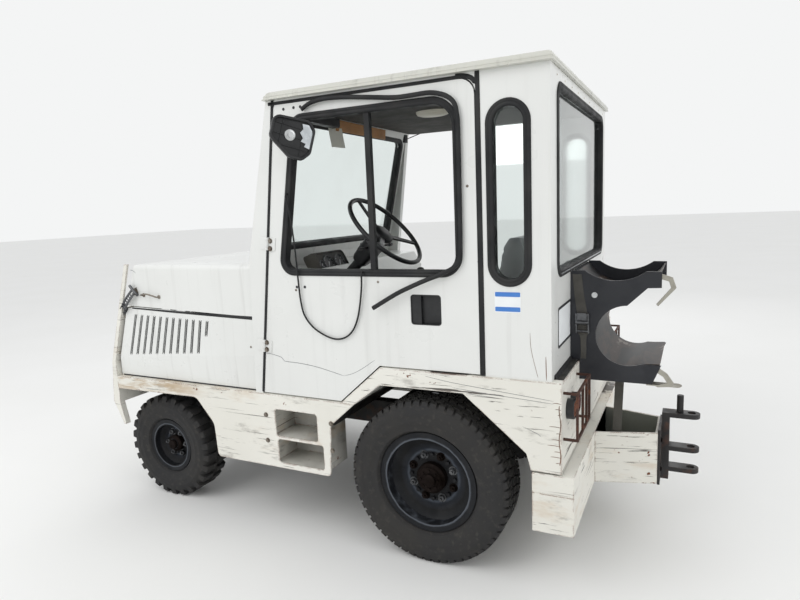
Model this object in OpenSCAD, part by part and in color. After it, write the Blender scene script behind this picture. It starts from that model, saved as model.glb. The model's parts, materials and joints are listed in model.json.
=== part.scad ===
// Airport baggage tug with a hollow cab, in millimetres.
// X runs forward, Y to the vehicle's left and Z up. In the drawing, X is measured from the rear axle and
// Y from the vehicle's middle plane.

/* [Overall] */
// Distance between the axles
wheelbase = 1615; // [1580:5:1700]
// From the front axle to the nose
nose_reach = 297; // [290:1:340]
// Width over the skirts and wings
body_w = 1442; // [1430:2:1500]
// How far the cab's sides lie in from the skirts
cab_inset = 9; // [8:1:20]
// Height of the roof's top over the ground
roof_z = 2092; // [2060:2:2160]
// Thickness of the roof tray
roof_t = 33; // [25:1:45]
// Width of the roof
roof_w = 1484; // [1450:2:1540]

/* [Body levels] */
// Lower edge of the skirts
sill_z = 338; // [320:1:350]
// Top of the rounded rail along the skirts
rail_z = 706; // [696:1:716]
// Top of the wings and of the seat platform
deck_z = 887; // [880:1:900]
// Top of the bonnet
bonnet_z = 1336; // [1320:1:1350]
// Seam between the bonnet's side and the louvred panel, at the cab
seam_z = 1073; // [1060:1:1090]
// Top of the cab's footwell floor
floor_z = 676; // [670:1:690]

/* [Cab] */
// Thickness of the cab's walls and of the door
wall = 40; // [30:1:45]
// Cab's rear wall, behind the rear axle
cab_back = 552; // [540:2:560]
// Foot of the cab's front wall, ahead of the rear axle
cab_toe = 886; // [880:1:895]
// Foot of the windscreen, ahead of the rear axle
screen_foot = 866; // [860:1:872]
// Top of the windscreen, ahead of the rear axle
screen_top = 704; // [680:2:720]
// Rear edge of the door, behind the rear axle
door_back = 267; // [240:1:280]
// Foot of the door's front edge, ahead of the rear axle
door_toe = 836; // [820:1:840]
// How far the door's front edge leans back for each millimetre of height
door_lean = 0.1294; // [0.11:0.005:0.14]
// Gap round the door and along the bonnet
seam = 6; // [5:0.5:8]
// Width of the rubber round each window
seal_w = 32; // [24:1:36]
// How far the rubber stands out of the wall
seal_out = 6; // [3:1:9]
// Thickness of the glass
glass_t = 6; // [4:1:8]

/* [Sheet metal] */
// Thickness of the skirts, wings and side panels
sheet = 8; // [5:1:10]
// Width of the rounded rail along the skirts
rail_w = 48; // [44:1:49]
// Number of louvre slots in each side panel
slot_count = 12; // [6:1:12]
// Width of a louvre slot
slot_w = 9; // [6:1:14]

/* [Rear end] */
// Rear face of the wings, behind the rear axle
tail = 590; // [580:2:600]
// Length of the ballast box along the vehicle
ballast_l = 163; // [140:1:170]
// Top of the ballast box
ballast_z = 515; // [500:1:520]
// Underside of the ballast box and drawbar box
under_z = 270; // [250:1:280]
// Length of the drawbar box
drawbar_l = 263; // [240:1:290]
// Thickness of the drawbar box's plate
drawbar_t = 10; // [6:1:14]

/* [Hitch] */
// Width of the hitch ears
ear_w = 66; // [56:1:80]
// Thickness of a hitch ear
ear_t = 22; // [16:1:26]
// Reach of the ears behind the hitch bar
ear_l = 126; // [110:1:140]
// Diameter of the holes in the hitch ears
ear_bore_d = 34; // [28:0.5:38]
// Diameter of the drop pin
pin_d = 29; // [22:0.5:32]

/* [Wheels] */
// Diameter of the rear tyres
rear_tyre_d = 744; // [720:2:752]
// Width of the rear tyres
rear_tyre_w = 225; // [205:1:230]
// Diameter of the front tyres
front_tyre_d = 584; // [560:2:592]
// Width of the front tyres
front_tyre_w = 175; // [160:1:180]
// How far the outer side of the rear tyres lies in from the skirts
rear_inset = 15; // [10:1:30]
// How far the outer side of the front tyres lies in from the skirts
front_inset = 82; // [76:1:90]

/* [Axles] */
// Distance of each kingpin from the vehicle's middle
kingpin_y = 415; // [405:1:420]
// Diameter of the kingpins
kingpin_d = 28; // [22:1:32]
// Diameter of the front wheel spindles
front_spindle_d = 44; // [36:1:50]
// Diameter of the rear wheel spindles
rear_spindle_d = 70; // [56:1:76]
// Radial clearance of every pin in its bore
fit = 0.05; // [0.03:0.01:0.09]

/* [Hidden] */
$fn = 48;

paint = "gainsboro";
black = "#1b1d22";
rubber = "#26282b";

half = body_w / 2;
cab_w = body_w - 2 * cab_inset;
cab_y = cab_w / 2;
inner_y = cab_y - wall;
eave_z = roof_z - roof_t;
nose_x = wheelbase + nose_reach;
floor_t = 26;

ballast_back = tail + 47;
drawbar_back = ballast_back + drawbar_l;
hitch_flange_t = 12;
hitch_bar_t = 33;
hitch_back = drawbar_back + hitch_flange_t + hitch_bar_t;
hitch_tip = hitch_back + ear_l;
mid_x = (nose_x - hitch_tip) / 2;

// Mirror head on the left door: its middle, half sizes, corner radius, turn and tip.
mirror_c = [500, cab_y + 106, 1880];
mirror_half = [22, 100, 88];
mirror_round = 34;
mirror_turn = 42;
mirror_tip = 16;
mirror_reach = mirror_c.y + mirror_half.x * sin(mirror_turn) + cos(mirror_turn) * (mirror_round
    + (mirror_half.y - mirror_round) * cos(mirror_tip) + (mirror_half.z - mirror_round) * sin(mirror_tip));
mid_y = (mirror_reach - roof_w / 2) / 2;

rear_r = rear_tyre_d / 2;
front_r = front_tyre_d / 2;
rear_y = half - rear_inset - rear_tyre_w / 2;
front_y = half - front_inset - front_tyre_w / 2;

// Moves the drawing to the part's own origin, on the ground below the middle of its whole length and width.
module placed() { translate([-mid_x, -mid_y, 0]) children(); }

// Reflects onto the right-hand side.
module right_hand() { mirror([0, 1, 0]) children(); }

// Draws once on each side.
module both_sides() { children(); mirror([0, 1, 0]) children(); }

// A box between two stations, two offsets and two levels.
module block(x, y, z) {
    translate([x[0], y[0], z[0]]) cube([x[1] - x[0], y[1] - y[0], z[1] - z[0]]);
}

// An outline of [x, z] points, as thick as the span y.
module side_slab(outline, y) {
    translate([0, y[1], 0]) rotate([90, 0, 0]) linear_extrude(y[1] - y[0]) polygon(outline);
}

// An outline of [y, z] points, as thick as the span x.
module cross_slab(outline, x) {
    translate([x[0], 0, 0]) rotate([90, 0, 90]) linear_extrude(x[1] - x[0]) polygon(outline);
}

// A round bar or bore along Y.
module bar_y(r, y, x, z) {
    translate([x, y[0], z]) rotate([-90, 0, 0]) cylinder(r = r, h = y[1] - y[0]);
}

function unit(v) = v / norm(v);
function mix(a, b, t) = a + (b - a) * t;

// The arc that rounds the corner b between a and c.
function corner(a, b, c, r, n) =
    let (
        u = unit(a - b),
        v = unit(c - b),
        turn = acos(u * v) / 2,
        mid = b + unit(u + v) * (r / sin(turn)),
        p = b + u * (r / tan(turn)),
        q = b + v * (r / tan(turn)),
        from = atan2(p.y - mid.y, p.x - mid.x),
        to = atan2(q.y - mid.y, q.x - mid.x),
        sweep = to - from > 180 ? to - from - 360 : to - from < -180 ? to - from + 360 : to - from
    )
    [for (i = [0:n]) mid + r * [cos(from + sweep * i / n), sin(from + sweep * i / n)]];

// An outline of [x, z, radius] points with its corners rounded.
function rounded(pts, n = 6) = [
    for (i = [0:len(pts) - 1])
        let (
            a = pts[(i + len(pts) - 1) % len(pts)],
            b = pts[i],
            c = pts[(i + 1) % len(pts)]
        )
        each b[2] > 0 ? corner([a.x, a.y], [b.x, b.y], [c.x, c.y], b[2], n) : [[b.x, b.y]]];

// A convex outline of [x, z, radius] points moved inward by d.
function inset(pts, d) = [
    for (i = [0:len(pts) - 1])
        let (
            b = [pts[i].x, pts[i].y],
            u = unit([pts[(i + len(pts) - 1) % len(pts)].x, pts[(i + len(pts) - 1) % len(pts)].y] - b),
            v = unit([pts[(i + 1) % len(pts)].x, pts[(i + 1) % len(pts)].y] - b),
            p = b + unit(u + v) * (d / sin(acos(u * v) / 2))
        )
        [p.x, p.y, max(pts[i][2] - d, 4)]];

// Ring points of an arc strip in the X and Z plane, from one angle to another.
function arc_strip(c, r0, r1, a, n = 16) = concat(
    [for (i = [0:n]) c + r1 * [cos(mix(a[0], a[1], i / n)), sin(mix(a[0], a[1], i / n))]],
    [for (i = [n:-1:0]) c + r0 * [cos(mix(a[0], a[1], i / n)), sin(mix(a[0], a[1], i / n))]]);

// The cab's outer front face at a level: upright below the windscreen, raked above.
screen_z = bonnet_z + 9;
function cab_front_x(z) = z < screen_z
    ? mix(cab_toe, screen_foot, (z - rail_z) / (screen_z - rail_z))
    : mix(screen_foot, screen_top, (z - screen_z) / (eave_z - screen_z));

// The line of the door's front edge at a level.
function door_x(z) = door_toe - door_lean * (z - rail_z - seam);
door_top_z = eave_z - 20;

// Opening of the rear window as [y, z, radius] points.
rear_window = [[-610, 1270, 70], [610, 1270, 70], [610, 2015, 70], [-610, 2015, 70]];

// Chassis: two rails with cross members, and beams that carry the cab and the skirts.
frame_y = [260, 320];
frame_z = [470, 590];
nose_back = nose_x - 52;
beam_z = [frame_z[1], floor_z - floor_t];
beam_l = 44;
beam_front = 796;
beam_rear = 440;
outrigger_x = 1106;

module chassis() color("dimgray") placed() {
    both_sides() {
        block([-ballast_back + ballast_l, nose_back], frame_y, frame_z);
        block([outrigger_x, outrigger_x + beam_l], [frame_y[1], half - sheet], [frame_z[1] - 50, frame_z[1]]);
    }
    for (x = [-440, 300, 1010, wheelbase + 165])
        block([x, x + 60], [-frame_y[0], frame_y[0]], [frame_z[0] + 20, frame_z[1] - 20]);
    for (x = [beam_rear, beam_front])
        block([x, x + beam_l], [-half + sheet, half - sheet], beam_z);
}

// Engine, one plain block that stands on the rails, and the radiator in front of it.
radiator_x = [wheelbase + 15, wheelbase + 65];
radiator_half = 310;
radiator_drop = 256;
engine_l = 560;
engine_half = 290;
engine_drop = 290;
fan_gap = 70;
engine_x = [radiator_x[0] - fan_gap - engine_l, radiator_x[0] - fan_gap];
module engine() color("slategray") placed()
    block(engine_x, [-engine_half, engine_half], [frame_z[1], bonnet_z - engine_drop]);
module radiator() color("#2a2c2e") placed()
    block(radiator_x, [-radiator_half, radiator_half], [frame_z[1], bonnet_z - radiator_drop]);

// Leaf springs: for each one its station, seat level, half length, rise to the ends and number of leaves.
front_z = front_r;
rear_z = rear_r;
beam_half = 34;
rear_tube_r = 55;
leaf_h = 8;
leaf_y = [264, 304];
leaf_step = 52;
eye_out_r = 14;
spring_seats = [
    [wheelbase, front_z + beam_half + 44, 225, 34, 4],
    [0, rear_z + rear_tube_r, 330, 8, 3]];
function leaf_top(s, i, at) = s[1] + leaf_h * i + s[3] * pow(at / s[2], 2);
module leaf(s, i) {
    reach = s[2] - leaf_step * (s[4] - i);
    nest = i > 1 ? 1 : 0;
    side_slab(concat(
        [for (k = [-6:6]) [s[0] + reach * k / 6, leaf_top(s, i, reach * k / 6)]],
        [for (k = [6:-1:-6]) [s[0] + reach * k / 6, leaf_top(s, i - 1, reach * k / 6) - nest]]), leaf_y);
}
module springs() color("#2b2d30") placed() both_sides() for (s = spring_seats) {
    eye_z = leaf_top(s, s[4], s[2]) - leaf_h / 2;
    for (i = [1:s[4]]) leaf(s, i);
    for (end = [-1, 1]) {
        bar_y(eye_out_r, leaf_y, s[0] + end * s[2], eye_z);
        block([s[0] + end * s[2] - 8, s[0] + end * s[2] + 8], leaf_y, [eye_z, frame_z[0]]);
    }
}

// Front axle beam with an upright eye at each end for the kingpin.
eye_r = 34;
eye_h = 80;
module front_axle() color("#2b2d30") placed() difference() {
    union() {
        block([wheelbase - 35, wheelbase + 35], [-kingpin_y + 20, kingpin_y - 20],
            [front_z - beam_half, front_z + beam_half]);
        both_sides() {
            translate([wheelbase, kingpin_y, front_z - eye_h / 2]) cylinder(r = eye_r, h = eye_h);
            block([wheelbase - 45, wheelbase + 45], frame_y, [front_z + beam_half, spring_seats[0][1]]);
        }
    }
    both_sides()
        translate([wheelbase, kingpin_y, front_z - eye_h / 2 - 1])
            cylinder(r = kingpin_d / 2 + fit, h = eye_h + 2);
}

// Steering knuckle: a fork round the eye, the kingpin and the wheel's spindle.
lug_t = 20;
web_y = [kingpin_y + eye_r + 3, kingpin_y + eye_r + 25];
front_hub_y = [front_y - 40, front_y + 42];
module knuckle() {
    lug_h = eye_h / 2 + 1;
    for (z = [front_z + lug_h, front_z - lug_h - lug_t]) {
        translate([wheelbase, kingpin_y, z]) cylinder(r = eye_r - 2, h = lug_t);
        block([wheelbase - 30, wheelbase + 30], [kingpin_y, web_y[1]], [z, z + lug_t]);
    }
    block([wheelbase - 30, wheelbase + 30], web_y, [front_z - lug_h - lug_t, front_z + lug_h + lug_t]);
    translate([wheelbase, kingpin_y, front_z - lug_h - 1])
        cylinder(r = kingpin_d / 2, h = 2 * lug_h + 2);
    bar_y(front_spindle_d / 2 + 12, [web_y[1] - 1, front_hub_y[0] - 1], wheelbase, front_z);
    bar_y(front_spindle_d / 2, [web_y[1] - 1, front_hub_y[1] - 10], wheelbase, front_z);
}
module knuckle_left() color("#303236") placed() knuckle();
module knuckle_right() color("#303236") placed() right_hand() knuckle();

// Rear axle: a tube with the differential and the wheels' spindles.
rear_hub_y = [rear_y - 60, rear_y + 52];
module rear_axle() color("#2b2d30") placed() {
    translate([0, 0, rear_z]) sphere(r = 125);
    bar_y(rear_tube_r, [-rear_hub_y[0] + 1, rear_hub_y[0] - 1], 0, rear_z);
    bar_y(rear_spindle_d / 2, [-rear_hub_y[1] + 14, rear_hub_y[1] - 14], 0, rear_z);
    both_sides() block([-50, 50], frame_y, [rear_z, spring_seats[1][1]]);
}

// Skirt: side sheet with the front wheel's arch and the step openings, and its rounded rail.
arch_front = wheelbase - 335;
arch_back = wheelbase - 455;
skirt_rear = 457;
step_up = [[533, 774], [498, 634]];
step_low = [[505, 766], [363, 484]];
skirt_outline = [
    [nose_back, rail_z, 0], [nose_back, rail_z - 72, 0],
    [arch_front, rail_z - 64, 50], [arch_front - 110, rail_z - 195, 60],
    [arch_back, sill_z, 24], [skirt_rear + 16, sill_z, 18],
    [skirt_rear, rail_z - 116, 20], [330, rail_z - 4, 0], [394, rail_z, 0]];

rail_round = 8;
module skirt() {
    difference() {
        side_slab(rounded(skirt_outline), [half - sheet, half]);
        for (o = [step_up, step_low])
            side_slab(rounded([for (p = [[0, 0], [1, 0], [1, 1], [0, 1]]) [o[0][p.x], o[1][p.y], 14]]),
                [half - sheet - 1, half + 1]);
    }
    // rail: a round-edged bar behind the top of the sheet
    cross_slab(rounded([
        [half - sheet, rail_z, 0], [half - sheet, beam_z[1], 0],
        [half - rail_w, beam_z[1], rail_round], [half - rail_w, rail_z, rail_round]], 4), [394, nose_back]);
}
module skirt_left() color(paint) placed() skirt();
module skirt_right() color(paint) placed() right_hand() skirt();

// Step box: two trays open to the outside.
step_depth = 170;
step_x = [beam_rear + beam_l + 4, beam_front - 2];
module step_box() difference() {
    block(step_x, [half - sheet - step_depth, half - sheet], [step_low[1][0] - 6, step_up[1][1] + 6]);
    for (o = [step_up, step_low])
        block([step_x[0] + 6, step_x[1] - 6], [half - sheet - step_depth + 6, half],
            [o[1][0], o[1][1]]);
}
module step_left() color(paint) placed() step_box();
module step_right() color(paint) placed() right_hand() step_box();

// Wing: outer sheet, top flange and the liner over the rear wheel.
wing_foot = 522;
arch_line = [[-470, wing_foot], [-453, 589], [-193, 809], [192, 807], [330, rail_z - 4]];
liner_line = [[336, rail_z + 3], [195, 815], [-196, 817], [-461, 592], [-478, wing_foot]];
module wing() {
    side_slab(concat([[394, rail_z], [187, deck_z], [-tail, deck_z], [-tail, wing_foot]], arch_line),
        [half - sheet, half]);
    side_slab(concat(arch_line, liner_line), [rear_y - rear_tyre_w / 2 - 30, half - sheet]);
    block([-tail, 187], [inner_y, half - sheet], [deck_z - sheet, deck_z]);
}
module wing_left() color(paint) placed() wing();
module wing_right() color(paint) placed() right_hand() wing();

// Panel across the rear between the wings.
module tail_panel() color(paint) placed()
    block([-tail, -tail + sheet], [-half + sheet, half - sheet], [wing_foot, deck_z - sheet]);

// Ballast box across the rear, with a seam round it.
module ballast_box() color(paint) placed() difference() {
    block([-ballast_back, -ballast_back + ballast_l], [-half, half], [under_z, ballast_z]);
    for (s = [-1, 1])
        block([-ballast_back - 1, -ballast_back + ballast_l + 1], [s * half - 3, s * half + 3], [430, 434]);
}

// Drawbar box, open at the top and tapering to the hitch.
function drawbar_outline(t) = [
    [-ballast_back, -195 + t], [-ballast_back, 195 - t],
    [-drawbar_back + t, 120 - t], [-drawbar_back + t, -120 + t]];
module drawbar_box() color(paint) placed() difference() {
    translate([0, 0, under_z]) linear_extrude(ballast_z - under_z - 2) polygon(drawbar_outline(0));
    translate([0, 0, under_z + drawbar_t]) linear_extrude(ballast_z - under_z)
        polygon(drawbar_outline(drawbar_t));
}

// Hitch: flange, upright bar and three ears in line.
ear_tops = [585, 425, 325];
ear_bore_x = -hitch_tip + ear_w / 2 + 2;
park_x = ear_bore_x + 49;
module hitch() color(black) placed() difference() {
    union() {
        block([-drawbar_back - hitch_flange_t, -drawbar_back], [-112, 112], [under_z - 7, 525]);
        block([-hitch_back, -drawbar_back - hitch_flange_t], [-ear_w / 2, ear_w / 2],
            [under_z - 7, ear_tops[0]]);
        for (z = ear_tops) {
            block([-hitch_tip + ear_w / 2, -hitch_back], [-ear_w / 2, ear_w / 2], [z - ear_t, z]);
            translate([-hitch_tip + ear_w / 2, 0, z - ear_t]) cylinder(r = ear_w / 2, h = ear_t);
        }
    }
    translate([ear_bore_x, 0, under_z]) cylinder(d = ear_bore_d, h = 400);
    translate([park_x, 0, ear_tops[0] - ear_t - 1]) cylinder(d = pin_d + 0.6, h = ear_t + 2);
}

// Drop pin, parked in the top ear.
pin_up = 80;
module hitch_pin() color(black) placed()
    translate([park_x, 0, ear_tops[0] - ear_t]) cylinder(d = pin_d, h = pin_up + ear_t);

// Bottle cradle on the cab's back: two cut plates and a back plate.
plate_t = 8;
back_plate_t = 10;
seal_foot = rear_window[0].y - 2;
cradle_y = [-119, 333];
cradle_top = 1275;
lower_c = [-785, 1000];
lower_r = 128;
arm_end = 912;
shelf_z = 882;
arm_z = 1262;
foot_x = [-883, 800];
function arm_slope(z) = mix(-arm_end - 4, foot_x[0], (shelf_z - z) / (shelf_z - foot_x[1]));
cradle_outline = [
    [-cab_back, seal_foot], [-cab_back - seal_out - 2, seal_foot], [-cab_back - seal_out - 2, cradle_top],
    [-arm_end, cradle_top - 4], [-arm_end, 1205], [-860, 1203],
    [-717, 1065], [-785, 1000], [-835, shelf_z], [-arm_end - 4, shelf_z], foot_x, [-tail, foot_x[1]],
    [-tail, deck_z], [-cab_back, deck_z]];
upper_c = [-735, 1372];
upper_r = 200;
module cradle() color(black) placed() {
    for (y = [cradle_y[0], cradle_y[1] - plate_t]) difference() {
        side_slab(cradle_outline, [y, y + plate_t]);
        bar_y(lower_r, [y - 1, y + plate_t + 1], lower_c.x, lower_c.y);
        bar_y(upper_r, [y - 1, y + plate_t + 1], upper_c.x, upper_c.y + 60);
    }
    block([-cab_back - back_plate_t, -cab_back], [cradle_y[0] + plate_t, cradle_y[1] - plate_t],
        [deck_z, seal_foot]);
}

// Troughs that the bottles lie in, between the plates.
trough_t = 5;
upper_reach = acos((-cab_back - back_plate_t - upper_c.x) / (upper_r + trough_t));
module troughs() color("#4c4540") placed() {
    side_slab(arc_strip(upper_c, upper_r, upper_r + trough_t, [-148, -upper_reach]),
        [cradle_y[0] + plate_t, cradle_y[1] - plate_t]);
    side_slab(concat(
        [for (i = [0:14]) lower_c + lower_r * [cos(mix(48, -113, i / 14)), sin(mix(48, -113, i / 14))]],
        [[-arm_end, shelf_z + 5], [-arm_end, shelf_z]],
        [for (i = [14:-1:0])
            lower_c + (lower_r + trough_t) * [cos(mix(48, -113, i / 14)), sin(mix(48, -113, i / 14))]]),
        [cradle_y[0] + plate_t, cradle_y[1] - plate_t]);
}

// Over-centre latches at the ends of the cradle's arms, and a tongue plate under the lower one.
tongue = [[-860, 282, 0], [-860, 333, 0], [-985, 333, 16], [-1010, 282, 24]];
module latches() color("#77735f") placed() {
    latch_y = [cradle_y[1] - plate_t, cradle_y[1]];
    translate([0, 0, foot_x[1] - 5]) linear_extrude(5) polygon(rounded(tongue));
    side_slab([[-arm_end, arm_z], [-952, 1248], [-966, 1206], [-900, 1130], [-892, 1138],
        [-946, 1206], [-938, 1232], [-arm_end, 1240]], latch_y);
    side_slab([[arm_slope(870), 870], [-940, 850], [-966, 812], [-952, 796], [-905, 790], [-893, 796],
        [-940, 812], [-925, 836], [arm_slope(850), 850]], latch_y);
}

// Webbing: one strap over the near plate and one drawn down into the drawbar box.
strap_t = 3;
strap_l = 370;
strap_top = [-577, arm_z];
strap_w = 38;
strap_lean = 30;
box_strap_top = [-720, 868];
box_strap_w = 40;
box_strap_y = 143;
module webbing(top, w, run, y)
    side_slab([top, top - [w, 0], top - [w, 0] + run, top + run], [y, y + strap_t]);
module straps() color("#57584c") placed() {
    webbing(strap_top, strap_w, [-strap_lean, -strap_l], cradle_y[1]);
    webbing(box_strap_top, box_strap_w, [20, under_z + drawbar_t - box_strap_top.y], box_strap_y);
}

// Flat-bar guard round each tail lamp.
guard_y = [396, 690];
guard_z = [650, 845];
guard_bar = 10;
guard_out = 58;
module guard_ring(x) difference() {
    block(x, guard_y, guard_z);
    block([x[0] - 1, x[1] + 1], [guard_y[0] + guard_bar, guard_y[1] - guard_bar],
        [guard_z[0] + guard_bar, guard_z[1] - guard_bar]);
}
module lamp_guards() color("#5b3a2a") placed() both_sides() {
    guard_ring([-tail - guard_out, -tail - guard_out + guard_bar]);
    for (y = [guard_y[0], guard_y[1] - guard_bar], z = [guard_z[0], guard_z[1] - guard_bar])
        block([-tail - guard_out + guard_bar - 1, -tail], [y, y + guard_bar], [z, z + guard_bar]);
    for (y = [470, 560])
        block([-tail - guard_out, -tail - guard_out + guard_bar], [y, y + guard_bar],
            [guard_z[0] + guard_bar - 1, guard_z[1] - guard_bar + 1]);
}

// Round tail lamps on the tail panel.
module tail_lamps() color("firebrick") placed() both_sides()
    for (y = [600, 510])
        translate([-tail - 34, y, 752]) rotate([0, 90, 0]) cylinder(d = 82, h = 34);

// Nose: a cheek bar on each side, with a raked panel between them that holds the grille and the lamps.
nose_top = [nose_x - 202, bonnet_z - 4];
nose_mid = [nose_x - 24, 789];
nose_low = [nose_x, 553];
cheek_w = 26;
cheek_t = 11;
cheek_gap = 26;
nose_split = seam_z + 22;
grille_y = 470;
grille_z = [830, 1060];
lamp_y = 560;
lamp_z = 672;
lamp_r = 80;
function nose_face(z) = z > nose_mid.y
    ? mix(nose_mid.x, nose_top.x, (z - nose_mid.y) / (nose_top.y - nose_mid.y))
    : mix(nose_low.x, nose_mid.x, (z - nose_low.y) / (nose_mid.y - nose_low.y));
module nose() color(paint) placed() {
    both_sides() {
        side_slab([
            nose_top, nose_mid, nose_low, [nose_back, nose_low.y], [nose_back, nose_mid.y - 60],
            [nose_mid.x - cheek_w, nose_mid.y], [nose_top.x - cheek_w, nose_top.y]],
            [half - cheek_t, half]);
        // bent-back lower corner
        side_slab([[nose_low.x - 2, nose_low.y], [nose_x - 66, 428], [nose_x - 82, 428],
            [nose_back, nose_low.y]], [half - 31, half]);
    }
    difference() {
        side_slab([
            [nose_face(nose_split), nose_split], nose_mid, nose_low, [nose_back, nose_low.y],
            [nose_back, nose_mid.y - 60], [nose_mid.x - cheek_w, nose_mid.y],
            [nose_face(nose_split) - cheek_w, nose_split]], [-half + cheek_t, half - cheek_t]);
        block([nose_top.x - 200, nose_x + 1], [-grille_y, grille_y], grille_z);
        for (s = [-1, 1])
            translate([nose_back - 1, s * lamp_y, lamp_z]) rotate([0, 90, 0]) cylinder(r = lamp_r, h = 60);
    }
    block([nose_back, nose_x - 12], [-290, 290], [430, nose_low.y]);
}

// Grille: bars across the nose opening on five uprights.
grille_bars = 8;
grille_in = 24;
module grille() color("#2b2d2f") placed() {
    pitch = (grille_z[1] - grille_z[0]) / grille_bars;
    for (i = [0:grille_bars - 1]) {
        z = grille_z[0] + pitch * (i + 0.5);
        block([nose_face(z) - grille_in, nose_face(z) - grille_in + 12], [-grille_y, grille_y], [z - 4, z + 4]);
    }
    for (s = [-2:2])
        side_slab([
            [nose_face(grille_z[0]) - grille_in - 8, grille_z[0]], [nose_face(grille_z[0]) - grille_in + 4, grille_z[0]],
            [nose_face(grille_z[1]) - grille_in + 4, grille_z[1]], [nose_face(grille_z[1]) - grille_in - 8, grille_z[1]]],
            [s * 180 - 5, s * 180 + 5]);
}

// Headlamps set into the nose.
module headlamps() color("lightgray") placed() both_sides()
    translate([nose_back + 8, lamp_y, lamp_z]) rotate([0, 90, 0]) cylinder(r = lamp_r, h = 30);

// Side panel of the engine bay, with slanted louvre slots and a folded-in foot.
panel_y = cab_y - 8;
fold_front = 814;
fold_rear = 888;
panel_foot = rail_z + 18;
foot_in = 14;
front_gap = 18;
function panel_front(z) = nose_face(z) - cheek_w - front_gap;
function panel_rear(z) = cab_front_x(z) + 4;
seam_front = [nose_x - 225, seam_z + 28];
module louvre(i) {
    t = i / (slot_count - 1);
    top = [mix(nose_x - 233, nose_x - 740, t), seam_z - mix(17, 32, t)];
    foot = i == slot_count - 1
        ? [top.x + 15, top.y - 70]
        : [mix(nose_x - 164, nose_x - 711, t), mix(fold_front, fold_rear, t) + mix(24, -6, t)];
    side_slab([[top.x - slot_w / 2, top.y], [top.x + slot_w / 2, top.y],
        [foot.x + slot_w / 2, foot.y], [foot.x - slot_w / 2, foot.y]],
        [panel_y - sheet - 1, panel_y + 1]);
}
module side_panel() {
    difference() {
        side_slab([
            [panel_rear(seam_z), seam_z], seam_front,
            [panel_front(seam_front.y - 12), seam_front.y - 12], [panel_front(fold_front), fold_front],
            [panel_rear(fold_rear), fold_rear]], [panel_y - sheet, panel_y]);
        for (i = [0:slot_count - 1]) louvre(i);
    }
    hull() {
        side_slab([[panel_front(fold_front), fold_front], [panel_rear(fold_rear), fold_rear],
            [panel_rear(fold_rear), fold_rear - 1]], [panel_y - sheet, panel_y]);
        side_slab([[nose_back - 5, panel_foot], [panel_rear(panel_foot), panel_foot],
            [panel_rear(panel_foot), panel_foot - 18], [nose_back - 5, panel_foot - 18]],
            [panel_y - foot_in - sheet, panel_y - foot_in]);
    }
}
module side_panel_left() color(paint) placed() side_panel();
module side_panel_right() color(paint) placed() right_hand() side_panel();

// Pieces beside the door stay clear of its inner face.
trim_y = inner_y - 4;

// Cab floor: footwell, riser and the seat platform over the rear wheels.
module cab_floor() color("#43464a") placed() side_slab([
    [cab_front_x(floor_z - floor_t) - bulkhead_t, floor_z - floor_t], [400, floor_z - floor_t],
    [240, deck_z - 30], [-tail + sheet, deck_z - 30], [-tail + sheet, deck_z],
    [258, deck_z], [422, floor_z], [cab_front_x(floor_z) - bulkhead_t, floor_z]], [-trim_y, trim_y]);

// Cab front: bulkhead below and the windscreen's raked frame above.
bulkhead_t = 30;
rake = atan2(screen_foot - screen_top, eave_z - screen_z);
screen_h = norm([screen_foot - screen_top, eave_z - screen_z]);
screen_outline = [
    [-inner_y + 22, 45, 60], [inner_y - 22, 45, 60],
    [inner_y - 22, screen_h - 45, 60], [-inner_y + 22, screen_h - 45, 60]];
module on_screen() { translate([screen_foot, 0, screen_z]) rotate([0, -rake, 0]) children(); }
module cab_front() color(paint) placed() {
    foot = floor_z - floor_t;
    side_slab([
        [cab_front_x(foot), foot], [screen_foot, screen_z],
        [screen_foot - bulkhead_t, screen_z], [cab_front_x(foot) - bulkhead_t, foot]],
        [-inner_y, inner_y]);
    difference() {
        side_slab([
            [screen_foot, screen_z], [screen_top, eave_z],
            [screen_top - wall, eave_z], [screen_foot - wall, screen_z]], [-inner_y, inner_y]);
        on_screen() cross_slab(rounded(inset(screen_outline, 8)), [-wall - 20, 20]);
    }
    // fixed pins of the bonnet's hinges with their lugs
    for (y = [-430, 430]) {
        bar_y(hinge_pin_d / 2, [y - 40, y + 40], hinge_x, hinge_z);
        for (s = [-40, 30]) {
            bar_y(hinge_lug_r, [y + s, y + s + 10], hinge_x, hinge_z);
            block([cab_front_x(hinge_z) - 8, hinge_x], [y + s, y + s + 10],
                [hinge_z - hinge_lug_r, hinge_z + hinge_lug_r]);
        }
    }
}

// Rear wall with its window opening.
module cab_rear() color(paint) placed() difference() {
    block([-cab_back, -cab_back + wall], [-inner_y, inner_y], [deck_z, eave_z]);
    cross_slab(rounded(inset(rear_window, 8)), [-cab_back - 1, -cab_back + wall + 1]);
}

// Door and its outline; the doorway is larger by the seam.
window_front = 694;
door_window = [
    [window_front, 1283, 70], [-206, 1283, 90], [-206, 1990, 120], [window_front - 120, 1990, 70]];
door_sill = rail_z + seam;
door_deck = deck_z + seam;
door_outline = [
    [door_x(door_top_z), door_top_z, 12], [-door_back, door_top_z, 60], [-door_back, door_deck, 0],
    [190, door_deck, 0], [398, door_sill, 0], [door_x(door_sill), door_sill, 0]];

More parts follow.
